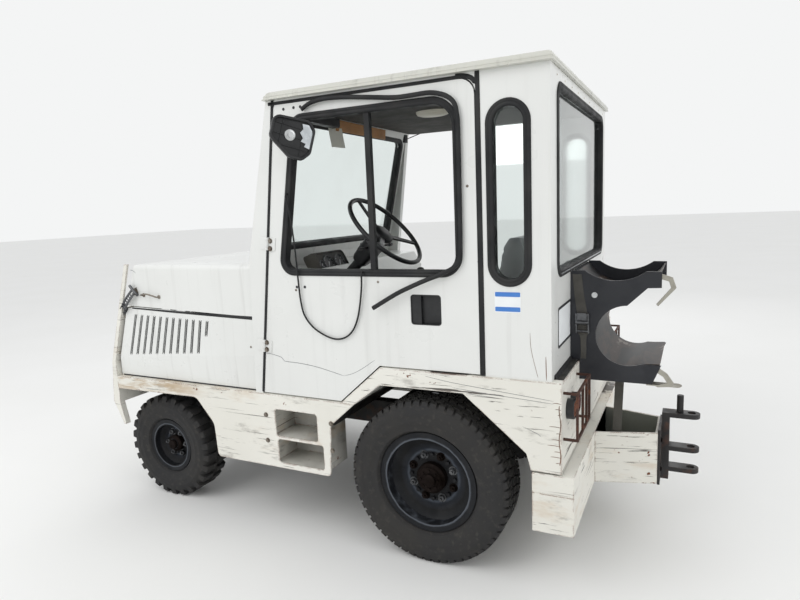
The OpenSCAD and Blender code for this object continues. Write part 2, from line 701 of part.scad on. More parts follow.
// Cab side: the fixed wall round the doorway.
quarter = [-481, -307, 1250, 1951];
module stadium(o, d, y) {
    r = (o[1] - o[0]) / 2 - d;
    xc = (o[0] + o[1]) / 2;
    for (z = [o[2] + d + r, o[3] - d - r]) bar_y(r, y, xc, z);
    block([xc - r, xc + r], y, [o[2] + d + r, o[3] - d - r]);
}
module cab_side() difference() {
    side_slab([
        [cab_front_x(rail_z), rail_z], [screen_foot, screen_z], [screen_top, eave_z],
        [-cab_back, eave_z], [-cab_back, deck_z], [-door_back, deck_z], [door_toe - 50, rail_z]],
        [inner_y, cab_y]);
    side_slab(rounded([
        [door_x(door_top_z + seam) + seam, door_top_z + seam, 14],
        [-door_back - seam, door_top_z + seam, 66], [-door_back - seam, rail_z - 20, 0],
        [door_x(rail_z - 20) + seam, rail_z - 20, 0]]), [inner_y - 1, cab_y + 1]);
    stadium(quarter, 8, [inner_y - 1, cab_y + 1]);
}
module cab_left() color(paint) placed() {
    cab_side();
    for (z = hinge_levels) on_hinge(z) hinge_fixed();
}
module cab_right() color(paint) placed() right_hand() cab_side();

// Roof tray with a chamfered brow and drip edge.
module roof() color(paint) placed() {
    side_slab([[screen_top + 2, eave_z], [screen_top + 2, eave_z + 12], [screen_top - 21, roof_z],
        [-cab_back - 14, roof_z], [-cab_back - 14, eave_z]], [-roof_w / 2, roof_w / 2]);
    block([-cab_back + wall, screen_top - wall - 14], [-trim_y, trim_y], [eave_z - 16, eave_z + 1]);
}

// Panes.
pane_in = seal_w - 2;
module windscreen() color("#8aa0a8", 0.4) placed()
    on_screen() cross_slab(rounded(inset(screen_outline, pane_in)), [-20, -20 + glass_t]);
module rear_glass() color("#8aa0a8", 0.4) placed()
    cross_slab(rounded(inset(rear_window, pane_in)), [-cab_back + 17, -cab_back + 17 + glass_t]);
module quarter_glass() color("#8aa0a8", 0.4) placed() both_sides()
    stadium(quarter, pane_in, [cab_y - 17 - glass_t, cab_y - 17]);

// Rubber round the fixed windows: a plug in the wall and a lip outside it.
module window_seals() color(rubber) placed() {
    difference() {
        union() {
            cross_slab(rounded(inset(rear_window, 8)), [-cab_back, -cab_back + wall]);
            cross_slab(rounded(rear_window), [-cab_back - seal_out, -cab_back]);
        }
        cross_slab(rounded(inset(rear_window, pane_in)), [-cab_back - 20, -cab_back + wall + 1]);
    }
    on_screen() difference() {
        union() {
            cross_slab(rounded(inset(screen_outline, 8)), [-wall + 3, 0]);
            cross_slab(rounded(screen_outline), [0, seal_out]);
        }
        cross_slab(rounded(inset(screen_outline, pane_in)), [-wall, seal_out + 1]);
    }
    both_sides() difference() {
        union() {
            stadium(quarter, 8, [inner_y, cab_y]);
            stadium(quarter, 0, [cab_y, cab_y + seal_out]);
        }
        stadium(quarter, pane_in, [inner_y - 1, cab_y + seal_out + 1]);
    }
}

// Dashboard under the windscreen, a hair off the bulkhead.
driver_y = 300;
dash_back = 640;
dash_z = [1100, 1130, 1200, 1286, 1296];
dash_gap = 0.3;
function dash_front(z) = cab_front_x(z) - bulkhead_t - dash_gap;
module dashboard() color("#3a3d40") placed() side_slab([
    [dash_front(dash_z[4]), dash_z[4]], [dash_back, dash_z[3]], [dash_back - 50, dash_z[2]],
    [dash_back - 30, dash_z[1]], [dash_front(dash_z[0]), dash_z[0]]], [-trim_y, trim_y]);

// Steering column, square to the steering wheel.
wheel_tilt = 46;
wheel_hub = [366, driver_y, 1440];
module on_column() { translate(wheel_hub) rotate([0, -wheel_tilt, 0]) children(); }
module steering_column() color(black) placed() difference() {
    on_column() {
        translate([0, 0, -330]) cylinder(r = 26, h = 290);
        translate([0, 0, -60]) cylinder(r = 10, h = 66);
    }
    side_slab([[screen_foot, dash_z[4] + 1], [dash_back, dash_z[3]], [dash_back - 50, dash_z[2]],
        [dash_back - 30, dash_z[1]], [screen_foot, dash_z[0] - 10]], [driver_y - 60, driver_y + 60]);
}

// Steering wheel with three spokes.
steer_rim_r = 216;
module steering_wheel() color(black) placed() on_column() difference() {
    union() {
        rotate_extrude() translate([steer_rim_r, 30]) circle(r = 11, $fn = 20);
        translate([0, 0, -24]) cylinder(r = 32, h = 44);
        for (a = [0, 120, 240]) rotate([0, 0, a]) hull() {
            translate([24, -12, 0]) cube([6, 24, 8]);
            translate([steer_rim_r - 8, -9, 26]) cube([6, 18, 8]);
        }
    }
    translate([0, 0, -25]) cylinder(r = 10 + fit, h = 36);
}

// Seat and the box that it stands on.
seat_y = [driver_y - 240, driver_y + 240];
seat_z = deck_z + 110;
seat_x = [-330, 150];
seat_box_in = 30;
module seat_base() color("#2b2d30") placed()
    block([seat_x[0], seat_x[1] - seat_box_in], [seat_y[0] + seat_box_in, seat_y[1] - seat_box_in],
        [deck_z, seat_z]);
cushion_t = [75, 95];
back_x = [-350, -240];
back_lean = 55;
back_top = 1440;
module seat() color("#4a4e52") placed() {
    side_slab(rounded([[seat_x[1], seat_z, 20], [seat_x[1], seat_z + cushion_t[1], 30],
        [seat_x[0] + 30, seat_z + cushion_t[0], 0], [seat_x[0], seat_z + cushion_t[0], 0], [seat_x[0], seat_z, 10]]),
        seat_y);
    side_slab(rounded([[back_x[1], seat_z + cushion_t[0] + 1, 0], [back_x[1] - back_lean, back_top, 36],
        [back_x[0] - back_lean, back_top, 36], [back_x[0], seat_z + cushion_t[0] + 1, 20]]), seat_y);
}

// Mirror head with its arm, carried by the door.
mirror_foot = 634;
arm_r = 9;
module mirror_left() color(black) placed() {
    translate(mirror_c) rotate([0, 0, -mirror_turn]) rotate([mirror_tip, 0, 0])
        cross_slab(rounded([for (p = [[-1, -1], [1, -1], [1, 1], [-1, 1]])
            [p.x * mirror_half.y, p.y * mirror_half.z, mirror_round]]), [-mirror_half.x, mirror_half.x]);
    hull() {
        translate([mirror_foot, cab_y + 14, mirror_c.z + 25]) sphere(r = arm_r, $fn = 16);
        translate([mirror_c.x + 22, mirror_c.y + 4, mirror_c.z + 25]) sphere(r = arm_r, $fn = 16);
    }
    block([mirror_foot - 14, mirror_foot + 14], [cab_y, cab_y + 10], [mirror_c.z - 1, mirror_c.z + 51]);
}

// Door leaf with its window opening and the recess of the handle.
handle_x = [-107, 29];
handle_z = [1084, 1211];
handle_deep = 22;
function handle_outline(d) = inset([for (p = [[0, 0], [1, 0], [1, 1], [0, 1]])
    [handle_x[p.x], handle_z[p.y], 14]], d);
module door() color(paint) placed() {
    difference() {
        side_slab(rounded(door_outline), [inner_y + 2, cab_y]);
        side_slab(rounded(inset(door_window, 8)), [inner_y, cab_y + 1]);
        side_slab(rounded(handle_outline(0)), [cab_y - handle_deep, cab_y + 1]);
    }
    for (z = hinge_levels) on_hinge(z) hinge_moving();
}

// Handle: a lined recess with a pull across it.
module door_handle() color(black) placed() {
    difference() {
        side_slab(rounded(handle_outline(0)), [cab_y - handle_deep, cab_y + 1]);
        side_slab(rounded(handle_outline(4)), [cab_y - handle_deep + 4, cab_y + 2]);
    }
    block([handle_x[1] - 46, handle_x[1] - 4], [cab_y - handle_deep + 3, cab_y - 3],
        [handle_z[0] + 4, handle_z[1] - 4]);
}

// Rubber of the door's window with its upright divider.
module door_seal() color(rubber) placed() {
    difference() {
        union() {
            side_slab(rounded(inset(door_window, 8)), [inner_y + 2, cab_y]);
            side_slab(rounded(door_window), [cab_y, cab_y + seal_out]);
        }
        side_slab(rounded(inset(door_window, pane_in)), [inner_y, cab_y + seal_out + 1]);
    }
    block([188, 212], [cab_y - 24, cab_y - 6], [door_window[0].y + pane_in, door_window[2].y - pane_in]);
}

// Door hinges: a knuckle on the door between two on the pillar, whose pin it turns on.
hinge_levels = [1431, 946];
hinge_out = 9;
hinge_r = 8.5;
hinge_half = 29;
knuckle_half = 14;
hinge_pin_r = 5;
plate_h = 4;
plate_w = 42;
plate_y = [-hinge_out - 1, -hinge_out + plate_h];
module on_hinge(z) translate([door_x(z) + seam / 2, cab_y + hinge_out, z])
    rotate([0, -atan(door_lean), 0]) children();
module hinge_fixed() {
    translate([0, 0, -hinge_half]) cylinder(r = hinge_pin_r, h = 2 * hinge_half);
    for (z = [-hinge_half, knuckle_half + 1]) {
        translate([0, 0, z]) cylinder(r = hinge_r, h = hinge_half - knuckle_half - 1);
        block([0, plate_w], plate_y, [z, z + hinge_half - knuckle_half - 1]);
    }
    block([hinge_r + 3, plate_w], plate_y, [-hinge_half, hinge_half]);
}
module hinge_moving() difference() {
    union() {
        translate([0, 0, -knuckle_half]) cylinder(r = hinge_r, h = 2 * knuckle_half);
        block([-plate_w, 0], plate_y, [-knuckle_half, knuckle_half]);
        block([-plate_w, -hinge_r - 3], plate_y, [-hinge_half, hinge_half]);
    }
    translate([0, 0, -knuckle_half - 1]) cylinder(r = hinge_pin_r + fit, h = 2 * knuckle_half + 2);
}

// Loose filler strip of the door's window rubber, hanging in a loop outside the door.
strip_d = 8;
strip_route = [
    [614, 7, 1650], [614, 14, 1650], [611, 24, 1636], [603, 25, 1600], [594, 22, 1540], [588, 19, 1460],
    [584, 16, 1380], [582, 15, 1310], [580, 13, 1240], [576, 11, 1170], [562, 10, 1105], [520, 10, 1052],
    [462, 10, 1018], [404, 10, 1002], [350, 10, 1012], [308, 10, 1048], [282, 10, 1102], [266, 11, 1165],
    [254, 14, 1230], [248, 19, 1270], [246, 22, 1288], [245, 17, 1302], [245, 6.6, 1303]];
strip_steps = 3;
function curve_point(a, b, c, d, t) =
    0.5 * (2 * b + (c - a) * t + (2 * a - 5 * b + 4 * c - d) * t * t + (3 * b - a - 3 * c + d) * t * t * t);
function curve(p, n) = concat([
    for (i = [0:len(p) - 2], k = [0:n - 1])
        curve_point(p[max(i - 1, 0)], p[i], p[i + 1], p[min(i + 2, len(p) - 1)], k / n)], [p[len(p) - 1]]);
function tangent(c, i) = unit(c[min(i + 1, len(c) - 1)] - c[max(i - 1, 0)]);
function normals(c, i, last) = i == len(c) ? [] :
    let (t = tangent(c, i), n = unit(last - t * (last * t))) concat([n], normals(c, i + 1, n));
module tube(c, r, sides) {
    n = normals(c, 0, [1, 0, 0.2]);
    points = [for (i = [0:len(c) - 1], s = [0:sides - 1])
        c[i] + r * (cos(360 * s / sides) * n[i] + sin(360 * s / sides) * cross(tangent(c, i), n[i]))];
    polyhedron(points, concat(
        [[for (s = [0:sides - 1]) s]],
        [for (i = [0:len(c) - 2], s = [0:sides - 1]) each [
            [i * sides + s, (i + 1) * sides + s, i * sides + (s + 1) % sides],
            [i * sides + (s + 1) % sides, (i + 1) * sides + s, (i + 1) * sides + (s + 1) % sides]]],
        [[for (s = [sides - 1:-1:0]) (len(c) - 1) * sides + s]]));
}
module door_strip() color(rubber) placed()
    tube([for (p = curve(strip_route, strip_steps)) [p.x, cab_y + p.y, p.z]], strip_d / 2, 8);

// Bonnet: a folded cover with its own front, hinged at the cab on two fixed pins.
bonnet_t = 4;
bonnet_drop = 9;
bonnet_y = cab_y - 8;
hinge_pin_d = 10;
hinge_lug_r = 7;
hinge_z = bonnet_z + 9;
hinge_x = cab_front_x(bonnet_z) + 17;
bonnet_round = 30;
function bonnet_front(z) = nose_face(z) - cheek_w - cheek_gap;
function bonnet_rear(z) = cab_front_x(z) + seam;
module bonnet_solid(d) intersection() {
    front_z0 = bonnet_z - bonnet_drop;
    side_slab([
        [bonnet_rear(bonnet_z) - d, bonnet_z - d], [bonnet_front(front_z0) - d, front_z0 - d],
        [bonnet_front(seam_front.y + seam) - d, seam_front.y + seam - d],
        [bonnet_rear(seam_z + seam) - d, seam_z + seam - d]], [-bonnet_y + d, bonnet_y - d]);
    cross_slab(rounded([
        [-bonnet_y + d, seam_z - 20, 0], [bonnet_y - d, seam_z - 20, 0],
        [bonnet_y - d, bonnet_z - d, bonnet_round], [-bonnet_y + d, bonnet_z - d, bonnet_round]], 8),
        [700, nose_x]);
}
module bonnet() color(paint) placed() {
    difference() {
        bonnet_solid(0);
        bonnet_solid(bonnet_t);
    }
    for (y = [-430, 430]) difference() {
        union() {
            bar_y(8.5, [y - 29, y + 29], hinge_x, hinge_z);
            block([hinge_x, hinge_x + 34], [y - 29, y + 29], [bonnet_z - 3, bonnet_z + 4]);
        }
        bar_y(hinge_pin_d / 2 + fit, [y - 30, y + 30], hinge_x, hinge_z);
    }
}

// A wheel on its axle line: turned profiles with the outboard side up.
module on_wheel(x, y, z) translate([x, y, z]) rotate([-90, 0, 0]) children();

// Rim with its dished disc, blind hub and studs.
rim_t = 8;
module rim(bead, flange, half_w, disc, hub_r, hub, bore, studs_r, studs) {
    rotate_extrude() {
        polygon([
            [bead - rim_t, -half_w], [flange, -half_w], [flange, -half_w + rim_t], [bead, -half_w + rim_t],
            [bead, half_w - rim_t], [flange, half_w - rim_t], [flange, half_w], [bead - rim_t, half_w]]);
        polygon([
            [hub_r - 1, disc - 10], [bead * 0.7, disc - 10], [bead - rim_t + 1, disc + 14],
            [bead - rim_t + 1, disc + 26], [bead * 0.7, disc], [hub_r - 1, disc]]);
        polygon([
            [bore, hub[0]], [hub_r, hub[0]], [hub_r, hub[1] - 10], [hub_r - 10, hub[1]],
            [0, hub[1]], [0, hub[1] - 8], [bore, hub[1] - 8]]);
    }
    for (i = [0:studs - 1])
        rotate([0, 0, 360 * i / studs]) translate([studs_r, 0, disc - 1]) cylinder(r = 10, h = 15, $fn = 6);
}

// Tyre on its rim: side walls, shoulders and a flat tread. A depth leaves room for lugs on the tread.
module tyre(bead, flange, rim_half, r, w, depth = 0) {
    tread = r - depth;
    side = [
        [bead, rim_half - rim_t], [flange + 2, rim_half - rim_t], [flange + 12, w / 2 - 12],
        [mix(flange, r, 0.45), w / 2], [tread - 26, w / 2 - 6], [tread - 8, w / 2 - 18], [tread, w / 2 - 34]];
    rotate_extrude()
        polygon(concat([for (i = [0:6]) side[i]], [for (i = [6:-1:0]) [side[i].x, -side[i].y]]));
}

// Lugs across each half of a tread, the halves half a pitch apart, with one lug square to the ground.
lug_count = 26;
lug_depth = 14;
lug_share = 0.56;
tread_groove = 12;
module tread_lugs(r, w) {
    pitch = 360 / lug_count;
    wide = lug_share * pitch / 2;
    tip = r / cos(min(wide, pitch / 2 - wide));
    for (half_turn = [0, 1]) intersection() {
        rotate([0, 0, 90 + half_turn * pitch / 2]) translate([0, 0, half_turn == 0 ? tread_groove / 2 : -w / 2])
            linear_extrude(w / 2 - tread_groove / 2) polygon([
                for (i = [0:lug_count - 1], e = [[-1, 0], [-1, 1], [1, 1], [1, 0]])
                    let (a = pitch * i + e[0] * wide, at = e[1] == 1 ? tip : r - lug_depth - 8)
                    [at * cos(a), at * sin(a)]]);
        rotate_extrude() polygon([
            [r - 60, -w / 2 + 3], [r - 30, -w / 2 + 3], [r - 10, -w / 2 + 10], [r + 6, -w / 2 + 28],
            [r + 6, w / 2 - 28], [r - 10, w / 2 - 10], [r - 30, w / 2 - 3], [r - 60, w / 2 - 3]]);
    }
}

front_bead = 127;
front_flange = 150;
front_rim_half = 66;
rear_bead = 203;
rear_flange = 228;
rear_rim_half = 86;
module rim_front() on_wheel(wheelbase, front_y, front_z)
    rim(front_bead, front_flange, front_rim_half, 8, 46, [front_hub_y[0] - front_y, front_hub_y[1] - front_y],
        front_spindle_d / 2 + fit, 68, 6);
module rim_rear() on_wheel(0, rear_y, rear_z)
    rim(rear_bead, rear_flange, rear_rim_half, 12, 68, [rear_hub_y[0] - rear_y, rear_hub_y[1] - rear_y],
        rear_spindle_d / 2 + fit, 104, 8);
module tyre_front() on_wheel(wheelbase, front_y, front_z) {
    tyre(front_bead, front_flange, front_rim_half, front_r, front_tyre_w, lug_depth);
    tread_lugs(front_r, front_tyre_w);
}
module tyre_rear() on_wheel(0, rear_y, rear_z)
    tyre(rear_bead, rear_flange, rear_rim_half, rear_r, rear_tyre_w);
module rim_front_left() color("#22252b") placed() rim_front();
module rim_front_right() color("#22252b") placed() right_hand() rim_front();
module rim_rear_left() color("#22252b") placed() rim_rear();
module rim_rear_right() color("#22252b") placed() right_hand() rim_rear();
module tyre_front_left() color(rubber) placed() tyre_front();
module tyre_front_right() color(rubber) placed() right_hand() tyre_front();
module tyre_rear_left() color(rubber) placed() tyre_rear();
module tyre_rear_right() color(rubber) placed() right_hand() tyre_rear();

chassis();
engine();
radiator();
front_axle();
rear_axle();
springs();
skirt_left();
skirt_right();
step_left();
step_right();
wing_left();
wing_right();
tail_panel();
ballast_box();
drawbar_box();
hitch();
hitch_pin();
cradle();
troughs();
latches();
straps();
lamp_guards();
tail_lamps();
nose();
grille();
headlamps();
side_panel_left();
side_panel_right();
cab_floor();
cab_front();
cab_rear();
cab_left();
cab_right();
roof();
windscreen();
rear_glass();
quarter_glass();
window_seals();
dashboard();
steering_column();
seat_base();
seat();
door();
door_seal();
door_handle();
door_strip();
mirror_left();
bonnet();
steering_wheel();
knuckle_left();
knuckle_right();
rim_front_left();
rim_front_right();
rim_rear_left();
rim_rear_right();
tyre_front_left();
tyre_front_right();
tyre_rear_left();
tyre_rear_right();
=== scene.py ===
"""Finishes and fine pieces of an airport baggage tug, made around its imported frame."""

import json
import math

import bmesh
import bpy
from bpy.props import FloatProperty, FloatVectorProperty, IntProperty, PointerProperty
from mathutils import Matrix, Vector

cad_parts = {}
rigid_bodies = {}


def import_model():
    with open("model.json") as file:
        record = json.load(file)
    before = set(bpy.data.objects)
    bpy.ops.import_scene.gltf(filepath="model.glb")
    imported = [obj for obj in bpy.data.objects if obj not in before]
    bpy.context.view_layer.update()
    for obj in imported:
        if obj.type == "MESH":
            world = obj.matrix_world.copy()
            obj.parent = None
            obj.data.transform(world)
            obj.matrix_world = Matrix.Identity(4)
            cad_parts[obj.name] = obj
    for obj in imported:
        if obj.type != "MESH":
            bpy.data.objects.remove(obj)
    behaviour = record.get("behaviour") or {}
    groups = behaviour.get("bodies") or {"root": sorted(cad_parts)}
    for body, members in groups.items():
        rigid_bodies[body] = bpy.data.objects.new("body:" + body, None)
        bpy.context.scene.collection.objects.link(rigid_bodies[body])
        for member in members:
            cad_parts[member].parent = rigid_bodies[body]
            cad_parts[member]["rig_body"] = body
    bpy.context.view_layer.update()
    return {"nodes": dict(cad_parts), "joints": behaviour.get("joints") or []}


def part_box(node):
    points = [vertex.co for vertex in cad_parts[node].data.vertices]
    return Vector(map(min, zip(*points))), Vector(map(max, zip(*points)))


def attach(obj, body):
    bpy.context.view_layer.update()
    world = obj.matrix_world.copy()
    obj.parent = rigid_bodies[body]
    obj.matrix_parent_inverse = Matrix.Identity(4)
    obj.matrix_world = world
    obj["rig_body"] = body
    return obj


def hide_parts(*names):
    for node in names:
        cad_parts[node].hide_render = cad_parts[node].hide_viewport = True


bl_info = {
    "name": "Airport baggage tug",
    "version": (1, 0, 0),
    "blender": (4, 5, 0),
    "location": "View3D > Sidebar > Tug",
    "description": "Paint, rubber, tyres, seat and small fittings of a baggage tug",
    "category": "Object",
}

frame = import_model()
NODES = frame["nodes"]
JOINTS = {joint["name"]: joint for joint in frame["joints"]}

# Lengths are in millimetres. Stations along X are measured from the rear axle and Y from the middle plane.
MM = 0.001
AXLES = {name: Vector(JOINTS["spin_" + name]["pos_m"]) for name in ("rear_left", "rear_right", "front_left")}
ORIGIN = Vector((AXLES["rear_left"].x, (AXLES["rear_left"].y + AXLES["rear_right"].y) / 2, 0))
WHEELBASE = (AXLES["front_left"].x - ORIGIN.x) / MM
HANDS = ((1, "left"), (-1, "right"))


def at(x, y, z):
    """A point of the shared frame, in metres."""
    return ORIGIN + Vector((x, y, z)) * MM


def node_box(node):
    """The lowest and highest corner of a node, in millimetres and stations."""
    return tuple(tuple((corner - ORIGIN) / MM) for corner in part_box(node))


BODY_HALF = node_box("wing_left")[1][1]
CAB_Y = node_box("cab_right")[0][1] * -1
WALL = 40
CAB_BACK = -node_box("cab_rear")[0][0]
EAVE_Z = node_box("cab_rear")[1][2]
DECK_Z = node_box("wing_left")[1][2]
RAIL_Z = node_box("skirt_left")[1][2]


# Numbers and colours


def linear(code):
    """A colour of the renderer from its web code."""
    parts = [int(code[i:i + 2], 16) / 255 for i in (1, 3, 5)]
    return tuple(c / 12.92 if c <= 0.04045 else ((c + 0.055) / 1.055) ** 2.4 for c in parts) + (1.0,)


def mix(a, b, t):
    return a + (b - a) * t


def colour_property(name, description, code):
    return FloatVectorProperty(name=name, description=description, subtype="COLOR", size=4,
                               min=0, max=1, default=linear(code))


class TugFinish(bpy.types.PropertyGroup):
    paint: colour_property("Paint", "Off-white paint of the body", "#e0e1de")
    old_paint: colour_property("Old paint", "Dulled paint of the skirts and boxes", "#dedcd3")
    rust: colour_property("Rust", "Rust at scratches and edges", "#6b3a1e")
    grime: colour_property("Grime", "Road dirt", "#5b5348")
    frame_black: colour_property("Frame black", "Black of the cradle, hitch and axles", "#1c1e24")
    rubber: colour_property("Rubber", "Rubber of the seals", "#191a1c")
    tyre: colour_property("Tyre", "Dusty rubber of the tyres", "#2b2b2c")
    vinyl: colour_property("Vinyl", "Cover of the seat", "#55595b")


class TugSizes(bpy.types.PropertyGroup):
    edge_round: FloatProperty(name="Edge rounding", description="Radius of the folded sheet edges",
                              default=2.5 * MM, min=0, unit="LENGTH")
    seal_width: FloatProperty(name="Seal width", description="Width of the rubber round a window",
                              default=32 * MM, min=10 * MM, unit="LENGTH")
    seal_height: FloatProperty(name="Seal height", description="How far the rubber stands out",
                               default=6 * MM, min=MM, unit="LENGTH")
    strip_diameter: FloatProperty(name="Strip diameter", description="Loose filler strip of the door",
                                  default=8 * MM, min=MM, unit="LENGTH")
    front_lugs: IntProperty(name="Front lugs", description="Lugs in one row of a front tyre",
                            default=26, min=8, max=60)
    rear_blocks: IntProperty(name="Rear blocks", description="Blocks in one row of a rear tyre",
                             default=58, min=20, max=90)


class TugStage(bpy.types.PropertyGroup):
    floor: colour_property("Floor", "Pale studio floor", "#eeeeec")
    lens: FloatProperty(name="Lens", description="Focal length of the camera in millimetres",
                        default=27.0, min=10, max=100)
    sky: FloatProperty(name="Sky", description="Strength of the soft light from all round",
                       default=1.0, min=0, max=2)


def finish_settings():
    return bpy.context.scene.tug_finish


def sizes():
    return bpy.context.scene.tug_sizes


# Materials

MATERIALS = {}

# The shared slot that each finish stands for, where a piece names no other.
SLOTS = {
    material: slot for slot, materials in {
        "white_paint": "cab_paint bonnet_paint roof_paint skirt_paint step_paint box_paint nose_paint "
                       "crack_dark rust_line sticker_white sticker_blue inner_grey cream_paint",
        "frame_black": "axle_black", "hitch_black": "hitch_black", "cradle_black": "cradle_black",
        "rim_black": "rim_front rim_rear", "rusty_steel": "rusty_bar rusty_metal",
        "engine_grey": "engine_grey", "rubber_black": "seal_rubber", "floor_grey": "mat_rubber",
        "tyre_black": "tyre_rubber", "glass": "mirror_glass", "seat_vinyl": "seat_vinyl",
        "webbing": "webbing", "worn_trough": "trough_paint",
        "latch_steel": "zinc bright_metal worn_steel aluminium latch_dark",
        "plastic_black": "black_plastic border_black", "trim_grey": "dash_plastic lining brown_board card",
        "lamp_clear": "beige_plastic white_lens", "lamp_red": "red_lens amber_lens",
    }.items() for material in materials.split()}


class Recipe:
    """One material's node tree, which reads object coordinates."""

    def __init__(self, name, colour="#808080", **sockets):
        self.material = bpy.data.materials.new(name)
        self.material.use_nodes = True
        self.tree = self.material.node_tree
        self.shader = self.tree.nodes["Principled BSDF"]
        self.shader.inputs["Base Color"].default_value = (
            linear(colour) if isinstance(colour, str) else tuple(colour))
        for socket, value in sockets.items():
            self.shader.inputs[socket.replace("_", " ")].default_value = value
        self.coordinates = self.add("ShaderNodeTexCoord").outputs["Object"]
        MATERIALS[name] = self.material

    def add(self, kind, links=(), **settings):
        node = self.tree.nodes.new(kind)
        for key, value in settings.items():
            setattr(node, key, value)
        for socket, value in dict(links).items():
            if isinstance(value, bpy.types.NodeSocket):
                self.tree.links.new(value, node.inputs[socket])
            else:
                node.inputs[socket].default_value = value
        return node

    def stretched(self, x, y, z, turn=(0, 0, 0)):
        return self.add("ShaderNodeMapping", {"Vector": self.coordinates, "Scale": (x, y, z),
                                              "Rotation": turn}).outputs["Vector"]

    def noise(self, scale, detail=4.0, vector=None, roughness=0.55, distortion=0.0):
        return self.add("ShaderNodeTexNoise", {
            "Vector": vector or self.coordinates, "Scale": scale, "Detail": detail,
            "Roughness": roughness, "Distortion": distortion}).outputs["Fac"]

    def voronoi(self, scale):
        return self.add("ShaderNodeTexVoronoi",
                        {"Vector": self.coordinates, "Scale": scale}).outputs["Distance"]

    def step(self, value, low, high, out=(0.0, 1.0)):
        return self.add("ShaderNodeMapRange", {
            "Value": value, "From Min": low, "From Max": high, "To Min": out[0], "To Max": out[1]},
            interpolation_type="SMOOTHSTEP").outputs["Result"]

    def maths(self, operation, a, b=0.0):
        return self.add("ShaderNodeMath", {0: a, 1: b}, operation=operation).outputs[0]

    def blend(self, factor, a, b, kind="MIX"):
        node = self.add("ShaderNodeMix", data_type="RGBA", blend_type=kind)
        for socket, value in ((node.inputs["Factor"], factor), (node.inputs[6], a), (node.inputs[7], b)):
            if isinstance(value, bpy.types.NodeSocket):
                self.tree.links.new(value, socket)
            else:
                socket.default_value = linear(value) if isinstance(value, str) else value
        return node.outputs[2]

    def axis(self, name):
        return self.add("ShaderNodeSeparateXYZ", {0: self.coordinates}).outputs[name]

    def edge(self, radius, low=0.03, high=0.3):
        """One along the outer and inner edges of the piece, worked out from a rounded normal."""
        soft = self.add("ShaderNodeBevel", {"Radius": radius * MM}, samples=4).outputs["Normal"]
        hard = self.add("ShaderNodeNewGeometry").outputs["Normal"]
        dot = self.add("ShaderNodeVectorMath", {0: soft, 1: hard}, operation="DOT_PRODUCT")
        return self.step(self.maths("SUBTRACT", 1.0, dot.outputs["Value"]), low, high)

    def patches(self, body, tone, scale, detail, low, high, amount=1.0, vector=None, roughness=0.55):
        """A second tone in the clouds of a noise; the amount is a share or a range."""
        out = amount if isinstance(amount, tuple) else (0, amount)
        return self.blend(self.step(self.noise(scale, detail, vector, roughness), low, high, out), body,
                          tone)

    def both(self, a, b):
        return self.maths("MULTIPLY", a, b)

    def colour(self, source):
        self.tree.links.new(source, self.shader.inputs["Base Color"])

    def rough(self, scale, detail, low, high):
        self.tree.links.new(self.step(self.noise(scale, detail), 0.3, 0.7, (low, high)),
                            self.shader.inputs["Roughness"])

    def bump(self, height, distance, strength=0.5):
        node = self.add("ShaderNodeBump",
                        {"Height": height, "Distance": distance * MM, "Strength": strength})
        self.tree.links.new(node.outputs["Normal"], self.shader.inputs["Normal"])


def plain(name, colour, clouds, rough=None, bump=None, **sockets):
    """A finish of cloudy tones: (tone, scale, detail, low, high, amount) each, roughness and grain."""
    recipe = Recipe(name, colour, **sockets)
    for cloud in clouds:
        colour = recipe.patches(colour, *cloud)
    recipe.colour(colour)
    if rough:
        recipe.rough(*rough)
    if bump:
        recipe.bump(recipe.noise(*bump[:2]), *bump[2:])
    return recipe


def clean_paint(name, colour, grime, dirt=0.35):
    """Gloss paint with faint clouding, rain streaks and a few chips."""
    recipe = Recipe(name, colour, Roughness=0.32, Coat_Weight=0.25, Coat_Roughness=0.2)
    body = recipe.patches(colour, recipe.blend(0.12, colour, grime), 1.7, 3, 0.3, 0.75, 0.5)
    body = recipe.patches(body, grime, 1.0, 5, 0.52, 0.8, dirt, recipe.stretched(26, 26, 1.1))
    mask = recipe.both(recipe.step(recipe.noise(46, 3), 0.735, 0.76),
                       recipe.step(recipe.noise(3.1, 2), 0.55, 0.62))
    recipe.colour(recipe.blend(mask, body, "#4a3a2c"))
    recipe.rough(9, 4, 0.27, 0.42)
    recipe.bump(recipe.noise(2.3, 2), 6, 0.35)


